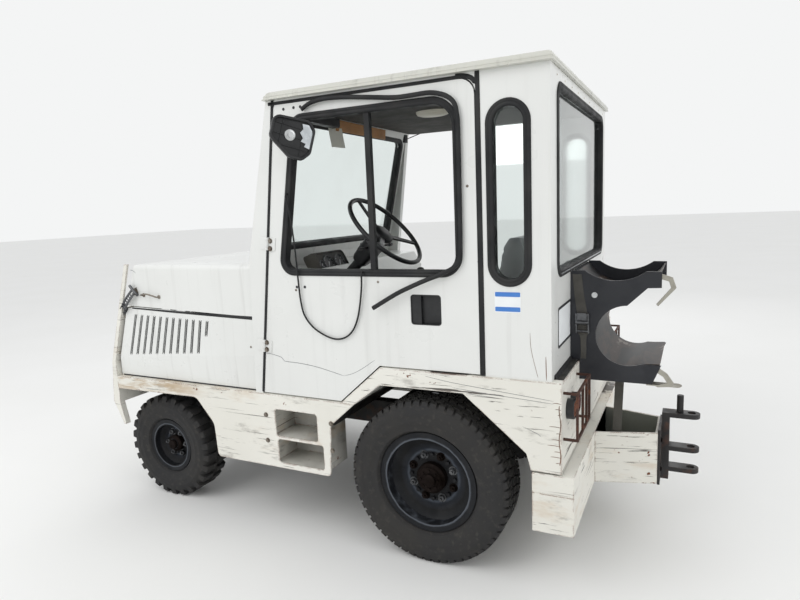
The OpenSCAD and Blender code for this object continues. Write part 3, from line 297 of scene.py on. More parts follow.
def scraped_paint(name, colour, grime, rust, wear=1.0, yellow=False):
    """Old paint with long level scratches, cracks, chipped edges and rust below them."""
    recipe = Recipe(name, colour, Roughness=0.5)
    cloud = recipe.noise(2.2, 5)
    body = recipe.blend(recipe.step(cloud, 0.35, 0.7, (0, 0.7)), colour, "#e6e4dc")
    body = recipe.patches(body, "#b9986a", 5.5, 6, 0.54, 0.74, 0.3 * wear,
                          recipe.stretched(0.5, 0.5, 1.6), 0.65)
    body = recipe.patches(body, grime, 11, 8, 0.55, 0.74, 0.4 * wear, recipe.stretched(0.6, 0.6, 1.8), 0.7)
    if yellow:
        rail = recipe.both(recipe.step(recipe.axis("X"), 0.7, 1.1),
                           recipe.step(recipe.axis("Z"), 0.62, 0.66))
        tint = recipe.step(recipe.noise(7, 7, recipe.stretched(0.5, 0.5, 3), 0.7), 0.42, 0.62, (0, 0.75))
        body = recipe.blend(recipe.both(rail, tint), body, "#a3824f")
    marks = None
    for stretch, high, low, coverage in ((2.3, 62, 0.625, 0.42), (4.5, 120, 0.64, 0.46),
                                         (1.2, 95, 0.645, 0.4)):
        level = recipe.noise(1.0, 6, recipe.stretched(stretch, stretch, high, (0.012, 0.014, 0)), 0.6)
        where = recipe.noise(2.6, 3, recipe.stretched(stretch / 2, stretch / 2, 2.2))
        lines = recipe.both(recipe.step(level, low, low + 0.025),
                            recipe.step(where, coverage, coverage + 0.12))
        marks = recipe.maths("MAXIMUM", marks, lines) if marks else lines
    body = recipe.blend(recipe.both(marks, 0.9), body, "#2e231b")
    chips = recipe.both(recipe.step(recipe.noise(34, 5), 0.66, 0.69),
                        recipe.step(recipe.noise(4.2, 2), 0.5, 0.6))
    body = recipe.blend(chips, body, rust)
    worn_edge = recipe.both(recipe.edge(12), recipe.step(recipe.noise(26, 6), 0.42, 0.54))
    recipe.colour(recipe.blend(recipe.both(worn_edge, min(0.95 * wear, 1)), body, rust))
    recipe.tree.links.new(recipe.step(cloud, 0.3, 0.7, (0.4, 0.62)), recipe.shader.inputs["Roughness"])
    recipe.bump(recipe.maths("SUBTRACT", recipe.noise(7, 5), recipe.both(marks, 0.8)), 2.5)


def rim_paint(name, middle, scale):
    """Dark wheel paint, by distance from the axle, with thin light rings at the inner step and the flange
    lip that are painted highlights.
    """
    recipe = Recipe(name, "#15181f", Specular_IOR_Level=0.3)
    x, z = (recipe.maths("SUBTRACT", recipe.axis(axis), place) for axis, place in zip("XZ", middle))
    away = recipe.maths("SQRT", recipe.maths("ADD", recipe.both(x, x), recipe.both(z, z)))
    place = recipe.maths("ADD", recipe.maths("DIVIDE", away, scale), recipe.both(recipe.noise(24, 5), 0.05))
    ramp = recipe.add("ShaderNodeValToRGB", {"Fac": recipe.maths("DIVIDE", place, RIM_SPAN)})
    while len(ramp.color_ramp.elements) < len(RIM_TONES_AND_HIGHLIGHTS):
        ramp.color_ramp.elements.new(0.5)
    for element, (position, tone) in zip(ramp.color_ramp.elements, RIM_TONES_AND_HIGHLIGHTS):
        element.position, element.color = position / RIM_SPAN, linear(tone)
    recipe.colour(recipe.patches(ramp.outputs["Color"], "#2e2b27", 9, 6, 0.5, 0.75, 0.3))
    recipe.rough(12, 4, 0.55, 0.75)
    recipe.bump(recipe.noise(60, 4), 0.6)


def dark_paint(name, colour, dust, rust=None, edge_colour="#5a5550", roughness=0.42):
    """Black paint with dust in its clouds and brighter rubbed edges."""
    recipe = Recipe(name, colour)
    body = recipe.patches(colour, dust, 7, 6, 0.45, 0.75, 0.35)
    if rust:
        body = recipe.patches(body, rust, 16, 6, 0.52, 0.66, 0.8)
    rubbed = recipe.both(recipe.edge(5), recipe.step(recipe.noise(38, 4), 0.42, 0.6))
    recipe.colour(recipe.blend(recipe.both(rubbed, 0.6), body, edge_colour))
    recipe.rough(12, 4, roughness - 0.1, roughness + 0.18)
    recipe.bump(recipe.noise(60, 4), 0.6)


def plain_rubber(name, colour, dust="#4b4a47", amount=0.3, scale=9):
    plain(name, colour, ((dust, scale, 5, 0.42, 0.75, amount),), (scale * 2, 3, 0.5, 0.75), (140, 4, 0.4),
          Specular_IOR_Level=0.35)


def clear_glass(name, tint, dust):
    plain(name, tint, (("#c9ccc8", 3, 4, 0.4, 0.8, dust),), Roughness=0.04, IOR=1.45,
          Transmission_Weight=1.0)


def woven(name, colour, fleck):
    """Webbing with its fine cross weave."""
    recipe = Recipe(name, colour, Roughness=0.85, Sheen_Weight=0.2)
    weave = recipe.add("ShaderNodeTexWave", {"Vector": recipe.stretched(1, 1, 1), "Scale": 210.0,
                                             "Distortion": 0.4}, bands_direction="Z").outputs["Fac"]
    body = recipe.blend(recipe.step(weave, 0.3, 0.7, (0, 0.35)), colour, fleck)
    recipe.colour(recipe.patches(body, "#302e2a", 9, 6, 0.45, 0.7, 0.5))
    recipe.bump(weave, 0.4, 0.6)


def bare_metal(name, colour, roughness=0.3, tarnish="#4d453b", amount=0.4):
    plain(name, colour, ((tarnish, 14, 6, 0.42, 0.72, amount),),
          (30, 4, roughness - 0.08, roughness + 0.2), Metallic=1.0)


def moulded(name, colour, roughness=0.5, fade="#4a4b4c", amount=0.25, grain=260):
    """Moulded plastic with a fine grain and faded patches."""
    plain(name, colour, ((fade, 5, 5, 0.42, 0.75, amount),),
          (16, 3, roughness - 0.08, roughness + 0.12), (grain, 3, 0.25))


def worn_trough_paint(name):
    """Black paint rubbed through to brown primer and grey steel by the bottles."""
    recipe = Recipe(name, Roughness=0.5)
    sweep = recipe.noise(2.4, 7, recipe.stretched(3.2, 0.9, 3.2), 0.62, 0.6)
    body = recipe.blend(recipe.step(sweep, 0.47, 0.56), "#0d0d10", "#33251d")
    body = recipe.blend(recipe.step(sweep, 0.58, 0.64, (0, 0.8)), body, "#8a827b")
    recipe.colour(recipe.patches(body, "#2a1c18", 22, 7, 0.56, 0.64, 0.8))
    recipe.bump(sweep, 1.0)


# Colours across a rim, by their distance from the axle as a share of the flange's radius; the light rings at
# 0.61 and 0.985 are painted highlights.
RIM_SPAN = 1.05
RIM_TONES_AND_HIGHLIGHTS = ((0, "#131417"), (0.56, "#121316"), (0.61, "#454b54"), (0.66, "#1c2027"), (0.76, "#14161b"),
             (0.8, "#0a0b0d"), (0.9, "#0f1115"), (0.965, "#14161a"), (0.985, "#565b62"), (1.02, "#15171b"))
RIM_FLANGES = {"front": 0.131, "rear": 0.207}

# Settings of the finishes that only differ in tone, in the order of their function's arguments.
PALETTE = {
    dark_paint: (
        ("axle_black", "#1b1b1c", "#4a443b", "#3c2617", "#5a5550", 0.6),
        ("hitch_black", "#1d1b1c", "#3a332d", "#4a2c1c", "#8a7f74"),
        ("rusty_bar", "#3a2118", "#5c3423", "#6a3a22", "#7a5542", 0.7),
        ("engine_grey", "#4b4e50", "#2f2a25", None, "#5a5550", 0.6)),
    plain_rubber: (("mat_rubber", "#242423", "#6d675c", 0.55, 5),),
    clear_glass: (("pane_glass", "#e9f0ee", 0.12), ("lamp_glass", "#e9edee", 0.4)),
    woven: (("webbing", "#474540", "#6b6862"),),
    bare_metal: (
        ("zinc", "#a9a69c", 0.38, "#5a4a3a", 0.55), ("bright_metal", "#c8cacb", 0.22, "#77726a", 0.3),
        ("worn_steel", "#8d867d", 0.42, "#4c3425", 0.7), ("aluminium", "#c3c6c8", 0.34, "#7d7c78", 0.35),
        ("mirror_glass", "#c9ced2", 0.06, "#8b8f92", 0.3), ("rusty_metal", "#2b2523", 0.7, "#17120f", 0.85),
        ("latch_dark", "#6c6d6f", 0.36, "#26272a", 0.8)),
    moulded: (
        ("black_plastic", "#17181a", 0.45), ("dash_plastic", "#2b2c2d", 0.62, "#6f6a60", 0.5),
        ("lining", "#3a3936", 0.85, "#4d4b45", 0.5, 120), ("beige_plastic", "#e6e2d4", 0.5, "#c0b8a0", 0.4),
        ("brown_board", "#b07d4a", 0.6, "#6c5039", 0.5), ("card", "#e4e2d8", 0.8, "#a9a491", 0.4),
        ("cream_paint", "#bdb59a", 0.55, "#6e5b43", 0.7, 40), ("red_lens", "#4c0f0e", 0.25, "#2a0b0a", 0.4),
        ("amber_lens", "#6e340c", 0.25, "#3d1e0a", 0.4), ("white_lens", "#c9cbca", 0.2, "#9a9a94", 0.3),
        ("sticker_white", "#eceff0", 0.4, "#c5c8ca", 0.3), ("sticker_blue", "#3d78c4", 0.4, "#6f9bd0", 0.3),
        ("border_black", "#202124", 0.5), ("crack_dark", "#6f7173", 0.7, "#3c3d3e", 0.6),
        # The inner grey tone here darkens the inside of the drawbar box as painted shade.
        ("rust_line", "#6f4a33", 0.8, "#3a2519", 0.7), ("inner_grey", "#8d8f86", 0.6, "#6f6c60", 0.5)),
}


def make_materials():
    tones = finish_settings()
    paint, old, grime, rust = tones.paint[:], tones.old_paint[:], tones.grime[:], tones.rust[:]
    for name, colour, dirt in (("cab_paint", paint, 0.1), ("bonnet_paint", paint, 0.16),
                               ("roof_paint", "#c9c9c0", 0.5)):
        clean_paint(name, colour, grime, dirt)
    for name, colour, wear in (("skirt_paint", old, 1.1), ("step_paint", "#73716a", 1.8),
                               ("box_paint", old, 1.15), ("nose_paint", old, 0.7)):
        scraped_paint(name, colour, grime, rust, wear, name == "skirt_paint")
    for end, flange in RIM_FLANGES.items():
        low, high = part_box(f"tyre_{end}_left")
        rim_paint(f"rim_{end}", ((low[0] + high[0]) / 2, (low[2] + high[2]) / 2), flange)
    dark_paint("cradle_black", tones.frame_black[:], "#33333a")
    plain_rubber("seal_rubber", tones.rubber[:])
    plain("tyre_rubber", tones.tyre[:], (("#3d3a35", 4, 5, 0.36, 0.72, (0.05, 0.4)),
                                         ("#56524b", 45, 6, 0.52, 0.74, 0.25)), None, (90, 5, 0.7, 0.6),
          Roughness=0.78, Specular_IOR_Level=0.3)
    vinyl = plain("seat_vinyl", tones.vinyl[:], (("#8a8c8b", 6, 5, 0.4, 0.75, 0.4),), (20, 4, 0.4, 0.6),
                  Sheen_Weight=0.1)
    vinyl.bump(vinyl.voronoi(420), 0.35, 0.7)
    worn_trough_paint("trough_paint")
    for make, rows in PALETTE.items():
        for row in rows:
            make(*row)


# Meshes


def rounded(points, steps=6):
    """The outline of (u, v, radius) points with its corners as arcs."""
    outline = []
    for i, (bu, bv, radius) in enumerate(points):
        a = Vector(points[i - 1][:2])
        b = Vector((bu, bv))
        c = Vector(points[(i + 1) % len(points)][:2])
        if radius <= 0:
            outline.append(b)
            continue
        u, v = (a - b).normalized(), (c - b).normalized()
        turn = math.acos(max(-1, min(1, u.dot(v)))) / 2
        centre = b + (u + v).normalized() * (radius / math.sin(turn))
        start = b + u * (radius / math.tan(turn)) - centre
        end = b + v * (radius / math.tan(turn)) - centre
        first = math.atan2(start.y, start.x)
        sweep = (math.atan2(end.y, end.x) - first + math.pi) % (2 * math.pi) - math.pi
        outline += [centre + radius * Vector((math.cos(first + sweep * k / steps),
                                              math.sin(first + sweep * k / steps)))
                    for k in range(steps + 1)]
    return outline


def inset(points, distance):
    """A convex outline of (u, v, radius) points moved inward."""
    moved = []
    for i, (bu, bv, radius) in enumerate(points):
        b = Vector((bu, bv))
        u = (Vector(points[i - 1][:2]) - b).normalized()
        v = (Vector(points[(i + 1) % len(points)][:2]) - b).normalized()
        half = math.acos(max(-1, min(1, u.dot(v)))) / 2
        p = b + (u + v).normalized() * (distance / math.sin(half))
        moved.append((p.x, p.y, max(radius - distance, 4)))
    return moved


def rectangle(u, v, radius):
    return [(u[0], v[0], radius), (u[1], v[0], radius), (u[1], v[1], radius), (u[0], v[1], radius)]


def circle(sides):
    return [2 * math.pi * k / sides for k in range(sides)]


def direction(path, i):
    """Which way a path runs at one of its points."""
    return (path[min(i + 1, len(path) - 1)] - path[max(i - 1, 0)]).normalized()


def turned_at(place, degrees, axis="Y"):
    return Matrix.Translation(Vector(place)) @ Matrix.Rotation(math.radians(degrees), 4, axis)


class Shape:
    """A mesh in the making, in millimetres and stations."""

    def __init__(self):
        self.mesh = bmesh.new()

    def data(self, name):
        """The plain mesh of everything drawn."""
        made = bpy.data.meshes.new(name)
        bmesh.ops.recalc_face_normals(self.mesh, faces=self.mesh.faces)
        self.mesh.to_mesh(made)
        self.mesh.free()
        return made

    def skin(self, rings, closed=False):
        """Joins rings of points that have the same count, and closes the ends."""
        rows = [[self.mesh.verts.new(p) for p in ring] for ring in rings]
        count = len(rows[0])
        for a, b in zip(rows, rows[1:] + (rows[:1] if closed else [])):
            for i in range(count):
                j = (i + 1) % count
                self.mesh.faces.new((a[i], a[j], b[j], b[i]))
        if not closed:
            self.mesh.faces.new(rows[0])
            self.mesh.faces.new(rows[-1])

    def stack(self, levels, steps=5):
        """Outlines of (x, y, radius) points at rising levels, joined to one body."""
        self.skin([[(p.x, p.y, z) for p in rounded(outline, steps)] for outline, z in levels])

    def slab(self, outline, axis, low, high):
        """An outline drawn square to an axis: (x, z) for Y, (y, z) for X, (x, y) for Z."""
        place = {"x": lambda p, d: (d, p[0], p[1]), "y": lambda p, d: (p[0], d, p[1]),
                 "z": lambda p, d: (p[0], p[1], d)}[axis]
        self.skin([[place(p, low) for p in outline], [place(p, high) for p in outline]])

    def block(self, x, y, z):
        self.slab([(x[0], y[0]), (x[1], y[0]), (x[1], y[1]), (x[0], y[1])], "z", *z)

    def turned(self, profile, centre=(0, 0, 0), axis=(0, 0, 1), sides=32):
        """A profile of (radius, height) points turned round an axis through a centre."""
        turn = Vector((0, 0, 1)).rotation_difference(Vector(axis).normalized()).to_matrix()
        self.skin([[Vector(centre) + turn @ Vector((r * math.cos(a), r * math.sin(a), h))
                    for r, h in profile]
                   for a in circle(sides)], closed=True)

    def sweep(self, path, section):
        """A section of (across, outward) points carried along a path that lies on a side of the vehicle."""
        rings = []
        for i, p in enumerate(path):
            along = direction(path, i)
            out = Vector((0, 1, 0))
            out = (out - along * out.dot(along)).normalized()
            side = along.cross(out)
            here = section(i) if callable(section) else section
            rings.append([p + side * a + out * b for a, b in here])
        self.skin(rings)

    def rod(self, a, b, radius, sides=12, tip=None):
        """A round bar between two points."""
        a, b = Vector(a), Vector(b)
        turn = Vector((0, 0, 1)).rotation_difference((b - a).normalized()).to_matrix()
        self.skin([[a + turn @ Vector((r * math.cos(t), r * math.sin(t), h)) for t in circle(sides)]
                   for r, h in ((radius, 0), (radius if tip is None else tip, (b - a).length))])

    def tube(self, points, radius, sides=8):
        """A round tube along points."""
        points = [Vector(p) for p in points]
        normal = direction(points, 0).orthogonal()
        rings = []
        for i, p in enumerate(points):
            along = direction(points, i)
            normal = (normal - along * normal.dot(along)).normalized()
            side = along.cross(normal)
            rings.append([p + radius * (math.cos(t) * normal + math.sin(t) * side) for t in circle(sides)])
        self.skin(rings)

    def ribbon(self, points, side, width, thickness):
        """A flat strap along points, with its width along a side direction."""
        points = [Vector(p) for p in points]
        side = Vector(side).normalized() * width / 2
        rings = []
        for i, p in enumerate(points):
            up = direction(points, i).cross(side).normalized() * thickness / 2
            rings.append([p - side - up, p + side - up, p + side + up, p - side + up])
        self.skin(rings)

    def bolt(self, centre, axis, radius, height):
        """A hexagon head on its washer."""
        centre, axis = Vector(centre), Vector(axis).normalized()
        self.rod(centre, centre + axis * height * 0.25, radius * 1.35, 16)
        self.rod(centre + axis * height * 0.2, centre + axis * height, radius, 6)

    def place(self, matrix):
        """Moves everything drawn so far."""
        bmesh.ops.transform(self.mesh, matrix=matrix, verts=self.mesh.verts)

    def both_sides(self):
        """Adds the reflection of everything drawn so far."""
        copied = bmesh.ops.duplicate(self.mesh,
                                     geom=self.mesh.verts[:] + self.mesh.edges[:] + self.mesh.faces[:])
        for v in copied["geom"]:
            if isinstance(v, bmesh.types.BMVert):
                v.co.y = -v.co.y

    def settle(self):
        """Goes over to the shared frame."""
        for v in self.mesh.verts:
            v.co = at(*v.co)

    def finish(self, name, material, body="body", replaces=(), slot=None, bevel=0.0, angle=35):
        """The finished piece in the shared frame, with its finish and the body it rides on."""
        bmesh.ops.remove_doubles(self.mesh, verts=self.mesh.verts, dist=0.005)
        self.settle()
        return dress(self.data(name), name, material, body, replaces, slot, bevel, angle)


def linked(name, data):
    """A new object of the scene."""
    obj = bpy.data.objects.new(name, data)
    bpy.context.scene.collection.objects.link(obj)
    return obj


def dress(data, name, material, body="body", replaces=(), slot=None, bevel=0.0, angle=35):
    data.shade_smooth()
    data.set_sharp_from_angle(angle=math.radians(angle))
    piece = linked(name, data)
    data.materials.append(MATERIALS[material])
    if bevel:
        rounding = piece.modifiers.new("rounding", "BEVEL")
        rounding.width = bevel * MM
        rounding.segments = 2
        rounding.limit_method = "ANGLE"
        rounding.angle_limit = math.radians(30)
        rounding.harden_normals = True
    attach(piece, body)
    slot or SLOTS[material]
    if replaces:
        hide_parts(replaces)
    return piece


# Welding distance in metres, and the angles in degrees below which faces merge and edges stay smooth.
WELD = 0.00002
FLAT = 0.6
SMOOTH = 28


def softened(node, material, slot, radius):
    """A copy of a node with its edges rounded, which stands for the node."""
    source = NODES[node]
    mesh = bmesh.new()
    mesh.from_mesh(source.data)
    bmesh.ops.remove_doubles(mesh, verts=mesh.verts, dist=WELD)
    bmesh.ops.dissolve_limit(mesh, angle_limit=math.radians(FLAT), verts=mesh.verts, edges=mesh.edges)
    data = bpy.data.meshes.new(node + "_finish")
    mesh.to_mesh(data)
    mesh.free()
    dress(data, node + "_finish", material, source["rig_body"], node, slot, radius, SMOOTH)


def wire(tree, nodes, kinds, links):
    """Adds nodes of the given kinds to a tree, and joins them as (node, output, node, input) says."""
    nodes.update((name, tree.nodes.new(kind)) for name, kind in kinds.items())
    for source, output, target, socket in links:
        tree.links.new(nodes[source].outputs[output], nodes[target].inputs[socket])


# Operators


class TUG_OT_stage(bpy.types.Operator):
    """Floor, soft light and a camera that looks at the left side from a little behind"""
    bl_idname = "tug.stage"
    bl_label = "Stage"

    POINT = at(-1027.3, 2942.5, 1561.9)
    FORWARD = Vector((0.43904, -0.88599, -0.14923))
    UP = Vector((0.02855, -0.15226, 0.98793))
    FLOOR_HALF = 60.0
    # Place, target, size and power.
    LIGHTS = (("key", (2.6, 5.2, 5.6), (0.1, 0, 0.9), 5.0, 150),
              ("rear_fill", (-6.0, 1.2, 3.6), (-0.8, 0, 0.8), 4.0, 50),
              ("far_fill", (1.0, -6.0, 4.0), (0.2, 0, 1.0), 4.0, 40))

    def execute(self, context):
        settings = context.scene.tug_stage
        camera = linked("camera", bpy.data.cameras.new("camera"))
        right = self.FORWARD.cross(self.UP).normalized()
        up = right.cross(self.FORWARD).normalized()
        turn = Matrix((right, up, -self.FORWARD.normalized())).transposed()
        camera.matrix_world = Matrix.Translation(self.POINT) @ turn.to_4x4()
        camera.data.lens = settings.lens
        camera.data.sensor_width = 36
        camera.data.clip_end = 200
        context.scene.camera = camera

        half = self.FLOOR_HALF
        data = bpy.data.meshes.new("floor")
        data.from_pydata([(-half, -half, 0), (half, -half, 0), (half, half, 0), (-half, half, 0)], [],
                         [(0, 1, 2, 3)])
        floor = linked("floor", data)
        ground = Recipe("floor_finish", settings.floor[:], Roughness=0.9, Specular_IOR_Level=0.1)
        ground.colour(ground.blend(ground.noise(0.8, 3), settings.floor[:], linear("#e9e9e6")))
        data.materials.append(ground.material)

        for name, place, target, size, power in self.LIGHTS:
            lamp = bpy.data.lights.new(name, "AREA")
            lamp.size, lamp.energy = size, power
            light = linked(name, lamp)
            light.location = place
            light.rotation_euler = (Vector(target) - Vector(place)).to_track_quat("-Z", "Y").to_euler()
        self.sky(context, settings.sky)
        context.scene.view_settings.view_transform = "Standard"
        return {"FINISHED"}

    def sky(self, context, strength):
        """Soft light all round, with a white backdrop for the camera, gloss and glass."""
        world = context.scene.world = bpy.data.worlds.new("studio")
        world.use_nodes = True
        nodes = {"light": world.node_tree.nodes["Background"],
                 "world": world.node_tree.nodes["World Output"]}
        wire(world.node_tree, nodes, {
            "backdrop": "ShaderNodeBackground", "paths": "ShaderNodeLightPath", "seen": "ShaderNodeMath",
            "seen through": "ShaderNodeMath", "shown": "ShaderNodeMixShader",
        }, (
            ("paths", "Is Camera Ray", "seen", 0), ("paths", "Is Glossy Ray", "seen", 1),
            ("seen", 0, "seen through", 0), ("paths", "Is Transmission Ray", "seen through", 1),
            ("seen through", 0, "shown", 0), ("light", 0, "shown", 1), ("backdrop", 0, "shown", 2),
            ("shown", 0, "world", "Surface")))
        nodes["seen"].operation = nodes["seen through"].operation = "MAXIMUM"
        nodes["light"].inputs["Color"].default_value = linear("#f3f4f6")
        nodes["light"].inputs["Strength"].default_value = strength
        nodes["backdrop"].inputs["Color"].default_value = linear("#f4f5f5")


# Route of the loose filler strip: station, distance out from the door and level.
STRIP_ROUTE = (
    (614, 7, 1650), (614, 14, 1650), (611, 24, 1636), (603, 25, 1600), (594, 22, 1540), (588, 19, 1460),
    (584, 16, 1380), (582, 15, 1310), (580, 13, 1240), (576, 11, 1170), (562, 10, 1105), (520, 10, 1052),
    (462, 10, 1018), (404, 10, 1002), (350, 10, 1012), (308, 10, 1048), (282, 10, 1102), (266, 11, 1165),
    (254, 14, 1230), (248, 19, 1270), (246, 22, 1288), (245, 17, 1302), (245, 6.6, 1303))


def curve_points(points, steps):
    """Points along a smooth curve through the given ones."""
    points = [Vector(p) for p in points]
    last = len(points) - 1
    out = []
    for i in range(last):
        a, b, c, d = (points[min(max(j, 0), last)] for j in (i - 1, i, i + 1, i + 2))
        for k in range(steps):
            t = k / steps
            out.append(0.5 * (2 * b + (c - a) * t + (2 * a - 5 * b + 4 * c - d) * t ** 2
                              + (3 * b - a - 3 * c + d) * t ** 3))
    return out + [points[-1]]


class TUG_OT_door_strip(bpy.types.Operator):
    """Loose filler strip that hangs in a loop from the door's window rubber"""
    bl_idname = "tug.door_strip"
    bl_label = "Door strip"

    STEPS = 4

    def execute(self, context):
        route = [at(p.x, CAB_Y + p.y, p.z) for p in curve_points(STRIP_ROUTE, self.STEPS)]
        curve = bpy.data.curves.new("loose_filler_strip", "CURVE")
        curve.dimensions = "3D"
        line = curve.splines.new("POLY")
        line.points.add(len(route) - 1)
        for point, place in zip(line.points, route):
            point.co = (*place, 1)
        curve.bevel_depth = sizes().strip_diameter / 2
        curve.bevel_resolution = 3
        curve.use_fill_caps = True
        curve.materials.append(MATERIALS["seal_rubber"])
        strip = linked("loose_filler_strip", curve)
        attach(strip, "door")
        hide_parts("door_strip")
        length = sum((b - a).length for a, b in zip(route, route[1:]))
        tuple(route[0])
        return {"FINISHED"}


# Window outlines of (u, v, radius) points: (station, level) on the sides, (Y, level) at the rear,
# and (Y, height up the glass) on the windscreen.
DOOR_WINDOW = [(694, 1283, 70), (-206, 1283, 90), (-206, 1990, 120), (574, 1990, 70)]
REAR_WINDOW = rectangle((-610, 610), (1270, 2015), 70)
QUARTER_WINDOW = rectangle((-481, -307), (1250, 1951), 86.9)
SCREEN_FOOT = (866, 1345)
SCREEN_TOP = (704, EAVE_Z)
SCREEN_RUN = Vector(SCREEN_TOP) - Vector(SCREEN_FOOT)
SCREEN_WINDOW = rectangle((-650, 650), (45, SCREEN_RUN.length - 45), 60)
# The rubber's section: how far in from its outer line, and how high it stands, at the size it is drawn in.
DRAWN_HEIGHT, DRAWN_WIDTH = 6.0, 32.0
RUBBER_SECTION = ((0, 0), (0.8, 3.0), (3, 5.2), (7, 6.0), (12, 5.8), (13.6, 4.4), (16.6, 4.4), (18.2, 5.8),
                  (23, 6.0), (27, 4.8), (29.4, 2.6), (30, 0))


def on_left(u, v, height):
    return (u, CAB_Y + height, v)


def on_right(u, v, height):
    return (u, -CAB_Y - height, v)


def on_rear(u, v, height):
    return (-CAB_BACK - height, u, v)


def on_screen(u, v, height):
    up = SCREEN_RUN.normalized()
    p = Vector(SCREEN_FOOT) + up * v + Vector((up.y, -up.x)) * height
    return (p.x, u, p.y)


def window_rubber(shape, outline, plane, depth):
    """A rubber profile round a window, through the wall and out to its inner face."""
    stand = sizes().seal_height / MM / DRAWN_HEIGHT
    broad = sizes().seal_width / MM / DRAWN_WIDTH
    section = [(d * broad, h * stand) for d, h in RUBBER_SECTION]
    section += [(30 * broad, -depth), (22, -depth - 4), (8, -depth - 4), (2, -depth), (8, -depth), (8, 0)]
    rings = [[plane(p.x, p.y, h) for p in rounded(inset(outline, max(d, 0.01)), 10)] for d, h in section]
    shape.skin(rings, closed=True)


class TUG_OT_window_rubbers(bpy.types.Operator):
    """Rubber round every window, with the door's loose lip and the seams' black seals"""
    bl_idname = "tug.window_rubbers"
    bl_label = "Window rubbers"

    # Outer lip of the door's rubber, pulled off along the top: station, stand-off and level.
    LOOSE_LIP = ((505, 12, 2003), (456, 16, 2024), (384, 20, 2032), (282, 20, 2027), (157, 18, 2012),
                 (54, 16, 2000), (-20, 16, 2000), (-96, 18, 2000), (-155, 18, 1984), (-190, 16, 1956),
                 (-202, 16, 1915), (-205, 14, 1850), (-204, 14, 1600), (-200, 14, 1385), (-180, 18, 1332),
                 (-126, 22, 1302), (-60, 28, 1277), (10, 32, 1248), (77, 34, 1217), (150, 36, 1176),
                 (190, 36, 1153))
    LAP_SECTION = ((-1, -1.8), (-0.9, 1.2), (-0.35, 2.6), (0.35, 2.6), (0.9, 1.2), (1, -1.8))
    DOOR_TOE = 836
    DOOR_LEAN = 0.1294
    LIP_WIDTH = 19
    LIP_THICK = 13

    def execute(self, context):
        door = Shape()
        window_rubber(door, DOOR_WINDOW, on_left, WALL - 6)
        door.block((188, 212), (CAB_Y - 26, CAB_Y - 2), (1306, 1968))
        door.finish("door_window_rubber", "seal_rubber", "door", "door_seal", angle=50)
        self.loose_lip()
        fixed = Shape()
        for outline, plane in ((REAR_WINDOW, on_rear), (SCREEN_WINDOW, on_screen), (QUARTER_WINDOW, on_left),
                               (QUARTER_WINDOW, on_right)):
            window_rubber(fixed, outline, plane, WALL)
        fixed.finish("fixed_window_rubbers", "seal_rubber", "body", "window_seals", angle=50)
        self.seams()
        return {"FINISHED"}

    def loose_lip(self):
        """The torn outer lip of the door's rubber, which hangs across the window."""
        lip = Shape()
        path = curve_points([on_left(u, v, h) for u, h, v in self.LOOSE_LIP], 4)
        lip.sweep(path, [(self.LIP_WIDTH / 2 * math.cos(a), self.LIP_THICK / 2 * math.sin(a))
                         for a in circle(10)])
        lip.finish("loose_rubber_lip", "seal_rubber", "door", angle=60)

    def seams(self):
        """Black seals of the left doorway: one in its gap, and one lapped over its edge."""
        sill, top = RAIL_Z + 6, EAVE_Z - 17

        def lean(z):
            return self.DOOR_TOE - self.DOOR_LEAN * (z - sill)

        left = Shape()
        path = ((lean(sill + 4) + 3, sill + 4), (lean(top - 10) + 3, top - 10), (lean(top) - 8, top),
                (-205, top), (-250, top - 20), (-270, top - 66), (-270, DECK_Z + 4))
        left.ribbon([(x, CAB_Y - 8, z) for x, z in path], (0, 1, 0), 14, 5.6)
        left.finish("doorway_seal", "seal_rubber")
        lap = Shape()
        rear = [(-281, DECK_Z + 3), (-281, top - 60), (-276, top - 30), (-256, top - 4), (-222, top + 7),
                (-195, top + 8)]
        front = [(-195, top + 4), (0, top + 3), (lean(top) - 30, top + 3), (lean(top) - 6, top + 1),
                 (lean(top - 16) + 2, top - 16), (lean(top - 60) + 3, top - 60), (lean(sill) + 3, sill + 3)]
        for route, half in ((rear, 9), (front, 7)):
            lap.sweep(curve_points([(x, CAB_Y + 1.8, z) for x, z in route], 3),
                      [(half * a, b) for a, b in self.LAP_SECTION])
        lap.finish("doorway_lap_seal", "seal_rubber", angle=50)


def wheel_matrix(centre, side):
    """Local Z out of the vehicle on the given side."""
    return turned_at(centre, -90 * side, "X")


def wheel_size(end, hand):
    """Radius, width, middle plane and level of a tyre."""
    low, high = node_box(f"tyre_{end}_{hand}")
    return (high[2] - low[2]) / 2, high[1] - low[1], (low[1] + high[1]) / 2, (low[2] + high[2]) / 2


def evaluated(obj):
    """The mesh of an object with its modifiers worked out, which are then taken off."""
    bpy.context.view_layer.update()
    made = bpy.data.meshes.new_from_object(obj.evaluated_get(bpy.context.evaluated_depsgraph_get()))
    obj.modifiers.clear()
    return made


